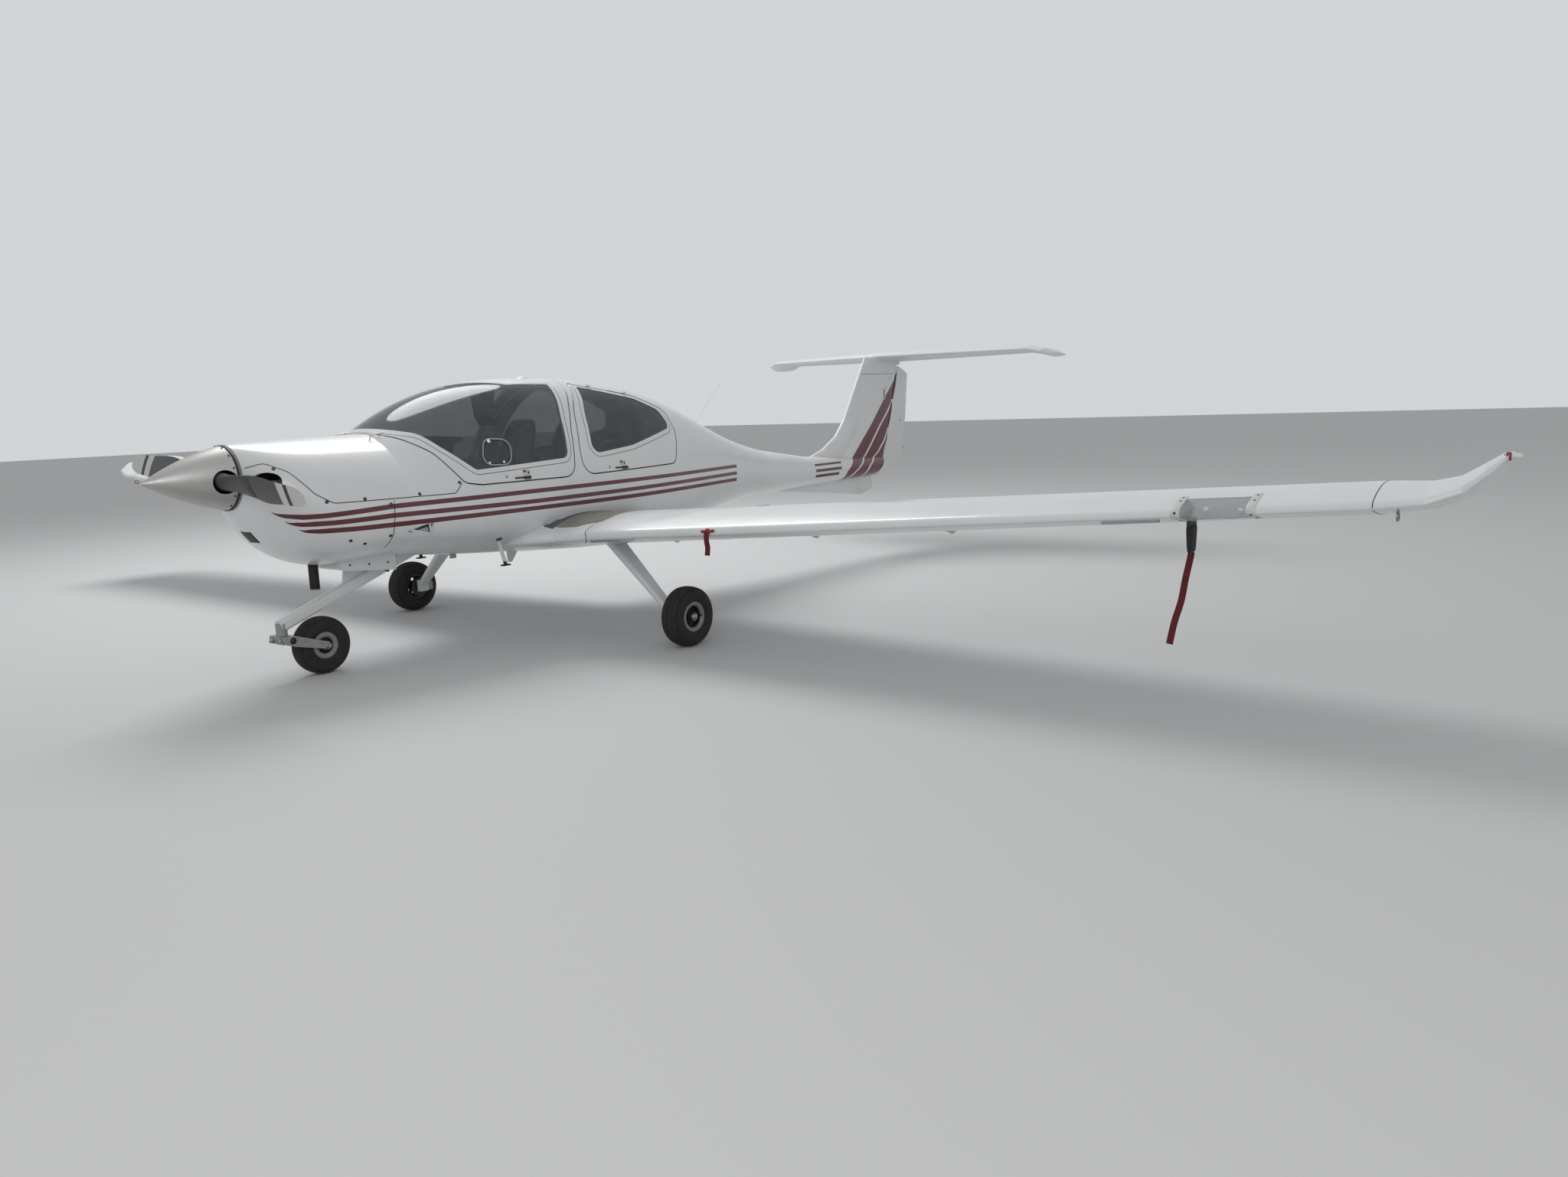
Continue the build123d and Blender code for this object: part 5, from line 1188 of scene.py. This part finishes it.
def nose_wheel_fittings(steel, dark, rim_paint, fork_paint):
    """Rim flanges, hub caps, the axle's nuts, and the collars, bolts and towing lugs of the fork."""
    station, _, z, _, _, rim = NOSE_WHEEL
    flange = [(rim + 0.002, 0.036), (rim + 0.004, 0.052), (rim - 0.004, 0.056), (rim - 0.026, 0.053),
              (rim - 0.030, 0.046), (rim - 0.030, 0.036)]
    for side, way in SIDES:
        outwards, arm = Vector((0, way, 0)), way * FORK_OUT
        hub = at(station, 0, z)
        shape = ring(flange, hub, outwards)
        piece(f"nose_rim_flange_{side}", [shape], rim_paint, "nose_wheel", slot="grey_paint")
        axle = at(station, arm, z)
        shapes = [turned([(0.019, 0.0), (0.019, 0.006), (0.015, 0.007)], axle, outwards, 32),
                  turned([(0.0135, 0.006), (0.0135, 0.016), (0.011, 0.018)], axle, outwards, 6)]
        piece(f"nose_axle_nut_{side}", shapes, steel, "nose_fork")
        pivot = at(0.722, arm, 0.246)
        collar = ring([(0.029, -0.002), (0.028, 0.004), (0.021, 0.005), (0.020, -0.002)], pivot, outwards)
        piece(f"fork_collar_{side}", [collar], fork_paint, "nose_fork")
        boss = [(0.0205, -0.001), (0.0205, 0.0015), (0.012, 0.002), (0.011, 0.004), (0.003, 0.0045)]
        piece(f"fork_boss_{side}", [turned(boss, pivot, outwards, 40)], dark, "nose_fork")
        cap = [(0.047, 0.030), (0.047, 0.040), (0.030, 0.044), (0.026, 0.060)]
        piece(f"nose_hub_cap_{side}", [turned(cap, hub, outwards, 40)], dark, "nose_wheel")
        shapes = bolt_ring(at(0.80, arm, 0.232), outwards, 0.0, 1, 0.007, 0.006)
        shapes += bolt_ring(at(0.90, arm, 0.205), outwards, 0.0, 1, 0.006, 0.005)
        piece(f"fork_bolts_{side}", shapes, steel, "nose_fork")
    lug = [at(0.655, -0.05, 0.262), at(0.655, -0.05, 0.236), at(0.672, -0.05, 0.228), at(0.676, -0.05, 0.262)]
    pin = tube([at(0.664, -0.075, 0.236), at(0.664, 0.075, 0.236)], 0.007, 12)
    piece("tow_lugs", [slab(lug, 0.0, 0.012), slab(lug, 0.088, 0.100), pin], steel, "nose_fork")


def propeller_fittings(rubber, dark, paint):
    """Cuffs where the blades leave the spinner, screws and a rim round its back."""
    hub, tilt = at(BLADE_STATION, 0, THRUST_Z), Matrix.Rotation(radians(BLADE_TILT), 3, "X")
    for side, way in SIDES:
        loops = []
        for out, chord, thick, pitch in CUFF:
            turn = radians(pitch)
            along = Vector((sin(turn), 0, cos(turn) * way)) * (chord / 2)
            up = Vector((cos(turn), 0, -sin(turn) * way)) * (thick / 2)
            loops.append([hub + tilt @ (Vector((0, way * out, 0)) + along * cos(k * tau / 36)
                                        + up * sin(k * tau / 36)) for k in range(36)])
        piece(f"blade_cuff_{side}", [lofted(loops)], paint, "propeller")
    screws = []
    for k in range(14):
        turn = k * tau / 14 + 0.11
        spot = at(0.435, 0.1815 * cos(turn), THRUST_Z + 0.1815 * sin(turn))
        screws.append((spot, Vector((-0.12, cos(turn), sin(turn))).normalized()))
    buttons("spinner_screws", screws, 0.0055, 0.002, dark, "propeller", 12)
    rim = [(0.1835, 0.446), (0.1848, 0.450), (0.1848, 0.458), (0.1800, 0.4595)]
    piece("spinner_rear_rim", [turned(rim, at(0, 0, THRUST_Z), AFT, 96)], rubber, "propeller")


# Covers and streamers
def smooth_route(route, parts):
    """Points along a curve through the route."""
    points = []
    for k in range(len(route) - 1):
        a, b, c, d = (route[max(0, min(len(route) - 1, k + step))] for step in (-1, 0, 1, 2))
        for i in range(parts):
            t = i / parts
            points.append(0.5 * ((2 * b) + (c - a) * t + (2 * a - 5 * b + 4 * c - d) * t ** 2
                                 + (3 * b - a - 3 * c + d) * t ** 3))
    return points + [route[-1]]


def streamer(name, route, cloth):
    """A narrow tape with a slow twist, and ripples across it."""
    points = smooth_route(route, 10)
    length = sum((b - a).length for a, b in zip(points, points[1:]))
    loops = []
    for k, point in enumerate(points):
        share = k / (len(points) - 1)
        way = (points[min(k + 1, len(points) - 1)] - points[max(k - 1, 0)]).normalized()
        turn = 0.35 * sin(share * 5.0) + 0.25
        towards = Vector((0.55 * cos(turn), -0.5 * sin(turn) - 0.45, 0.30))
        across = towards.cross(way).cross(way).normalized()
        normal = across.cross(way).normalized() * 0.0006
        ripple = normal * (3.0 * sin(share * 14.0))
        loop = []
        for i in range(7):
            offset = across * (STREAMER_WIDTH * (i / 6 - 0.5)) + ripple
            loop.append(point + (offset + normal * (1.5 * sin(i * 1.1 + share * 6.0))))
        loops.append([spot + normal for spot in loop] + [spot - normal for spot in reversed(loop)])
    thing = piece(name, [lofted(loops)], cloth)


def pitot_cover(rubber, cloth, steel):
    """A sock over the pitot mast and the tape that hangs from it, blown forward."""
    loops = []
    for z, half, thick in PITOT_SOCK:
        loop = []
        for k in range(36):
            c, s = superellipse(k / 36, 3)
            loop.append(at(PITOT_STATION + half * c, PITOT_Y + thick * s, z))
        loops.append(loop)
    modified(piece("pitot_cover", [lofted(loops)], rubber), "SUBSURF", levels=1, render_levels=1)
    route = [at(2.537, -4.715, 0.778), at(2.520, -4.715, 0.745), at(2.470, -4.713, 0.662),
             at(2.405, -4.717, 0.570), at(2.335, -4.712, 0.482), at(2.262, -4.716, 0.395)]
    streamer("pitot_streamer", route, cloth)
    eye = []
    for k in range(17):
        turn = k * tau / 16
        eye.append(at(2.537 + 0.009 * cos(turn), PITOT_Y, 0.772 + 0.009 * sin(turn)))
    piece("pitot_streamer_ring", [tube(eye, 0.0018, 8)], steel)


def stall_plug(plastic, cloth):
    """A plug in the port wing's leading edge, and the short tape on it."""
    wing = Skin("wing_port")
    run = [wing.meet(at(1.6, -1.93 - 0.09 * k / 8, 0.792 + 0.006 * k / 8), AFT) for k in range(9)]
    body = tube([spot + normal * 0.006 for spot, normal in run], 0.009, 14)
    spot, normal = run[4]
    cap = turned([(0.016, -0.001), (0.016, 0.012), (0.012, 0.016)], spot, normal, 24)
    piece("stall_plug", [body, cap], plastic)
    foot = spot + normal * 0.014
    hang = [foot + Vector(step) for step in ((0, 0, -0.006), (-0.006, 0.001, -0.05), (0.002, 0.0, -0.10),
                                             (-0.006, -0.001, -0.145))]
    streamer("stall_streamer", hang, cloth)


def exhaust_and_outlet(dark, steel):
    """A rolled lip on the exhaust, and screws on the outlet's box."""
    lip = [(0.0275, 0.0), (0.0305, 0.001), (0.0305, 0.006), (0.029, 0.007)]
    piece("exhaust_lip", [turned(lip, at(0.940, 0, 0.5125), (0, 0, 1), 40)], steel)
    box = Skin("air_outlet_fairing")
    for side, way in SIDES:
        places = [box.side(station, z, way) for station, z in ((1.07, 0.655), (1.20, 0.645), (1.33, 0.640))]
        buttons(f"outlet_screws_{side}", met(places), 0.0065, 0.002, dark, count=12)


camera()
world(0.42, (0.64, 0.66, 0.68, 1))
floor()
lamp("key", (1.5, 5.0, 9.0), (0, 0, 0.8), 6.0, 560)
lamp("fill", (-9.0, -7.0, 5.0), (0, -1, 0.8), 5.0, 150)

paint, livery = white_paint(), livery_paint()
for name in frame["nodes"]:
    give(paint, name)
give(livery, "fuselage_shell", "lower_cowl", "fin", "rudder")
give(pane("tinted_pane", (0.050, 0.068, 0.082, 1), 0.44), "canopy_glass", "rear_door_glass",
     "rear_window_starboard")
give(pane("lamp_pane", (0.55, 0.57, 0.58, 1), 0.22), "landing_light_lens_port",
     "landing_light_lens_starboard")
for node, wheel, way in (("nose_tyre", NOSE_WHEEL, STARBOARD), ("main_tyre_port", MAIN_WHEEL, PORT),
                         ("main_tyre_starboard", MAIN_WHEEL, STARBOARD)):
    give(tyre_rubber(f"{node}_rubber", wheel, way), node)
dark = plain("dark_trim", (0.022, 0.023, 0.025, 1), 0.45, grain=0.0003)
rubber = plain("black_rubber", (0.012, 0.012, 0.013, 1), 0.6, grain=0.0002)
steel = plain("steel", (0.34, 0.34, 0.35, 1), 0.32, metal=1.0, scale=60.0, slot="steel")
aluminium = plain("cast_aluminium", (0.45, 0.46, 0.47, 1), 0.42, metal=0.9, grain=0.0003, grain_scale=300.0,
                  slot="aluminium")
chrome = plain("bright_metal", (0.72, 0.73, 0.74, 1), 0.14, metal=1.0, slot="bright_metal")
rim_paint = plain("rim_paint", (0.30, 0.305, 0.31, 1), 0.45, metal=0.3, scale=50.0, wear=0.6)
wheel_dark = plain("wheel_casting", (0.060, 0.062, 0.066, 1), 0.5, metal=0.4, grain=0.0004, grain_scale=260.0)
fork_paint = plain("fork_paint", (0.36, 0.37, 0.375, 1), 0.42, metal=0.2, scale=26.0, wear=0.5, grain=0.0002,
                   slot="grey_paint")
trim = plain("grey_trim", (0.42, 0.43, 0.44, 1), 0.45, grain=0.0002)
plate_white = plain("plate_white", (0.62, 0.62, 0.60, 1), 0.4, scale=120.0)
plate_brown = plain("plate_brown", (0.20, 0.06, 0.035, 1), 0.45, scale=160.0)
hide, mat, blades = leather(), walkway_mat(), blade_paint()
border = plain("walkway_border", (0.115, 0.125, 0.14, 1), 0.85, grain=0.0008, grain_scale=900.0)
moulding = plain("seat_moulding", (0.035, 0.037, 0.041, 1), 0.5, grain=0.0004, grain_scale=500.0)
belt = plain("belt_webbing", (0.028, 0.029, 0.032, 1), 0.8, grain=0.0006, grain_scale=1400.0,
             slot="upholstery")
screen = plain("display_glass", (0.010, 0.012, 0.015, 1), 0.12, coat=0.8)
red_plastic = plain("red_plastic", (0.30, 0.018, 0.015, 1), 0.4, scale=50.0)
frame_white = plain("frame_white", (0.66, 0.67, 0.67, 1), 0.4, scale=40.0, wear=0.2, slot="white_paint")
cloth = red_cloth()

give(spinner_metal(), "spinner")
give(blades, "propeller")
give(dark, "instrument_panel", "control_sticks", "pitot_mast")
give(steel, "brake_caliper_port", "brake_caliper_starboard", "tie_down_eyes")
give(aluminium, "engine_block")
give(wheel_dark, "main_wheel_port", "main_wheel_starboard", "nose_wheel")
give(chrome, "landing_lamps_port", "landing_lamps_starboard")
give(fork_paint, "nose_fork", "nose_caster_housing")
give(scorched_steel(), "exhaust_pipe")
give(carpet(), "cabin_floor")
give(tip_lens(), "tip_lights")
give(step_paint(), "entry_steps")

seals(rubber)
gaskets_and_gap_shade(rubber)
storm_windows(trim, rubber, chrome)
handles(dark, plate_white, plate_brown, steel)
fuselage_fittings(dark, rubber, steel, trim)
front_seat("port", PORT, hide, moulding, belt, chrome)
front_seat("starboard", STARBOARD, hide, moulding, belt, chrome)
rear_seat(hide, moulding)
cabin_details(dark, screen, trim, rubber, chrome)
walkways(mat, border)
wing_fittings(aluminium, dark, frame_white, steel)
tail_fittings(dark, frame_white)
main_wheel_fittings(steel, dark, rim_paint)
nose_wheel_fittings(steel, dark, rim_paint, fork_paint)
propeller_fittings(rubber, dark, blades)
pitot_cover(rubber, cloth, steel)
stall_plug(red_plastic, cloth)
exhaust_and_outlet(dark, steel)

bpy.context.scene.view_settings.view_transform = "Standard"
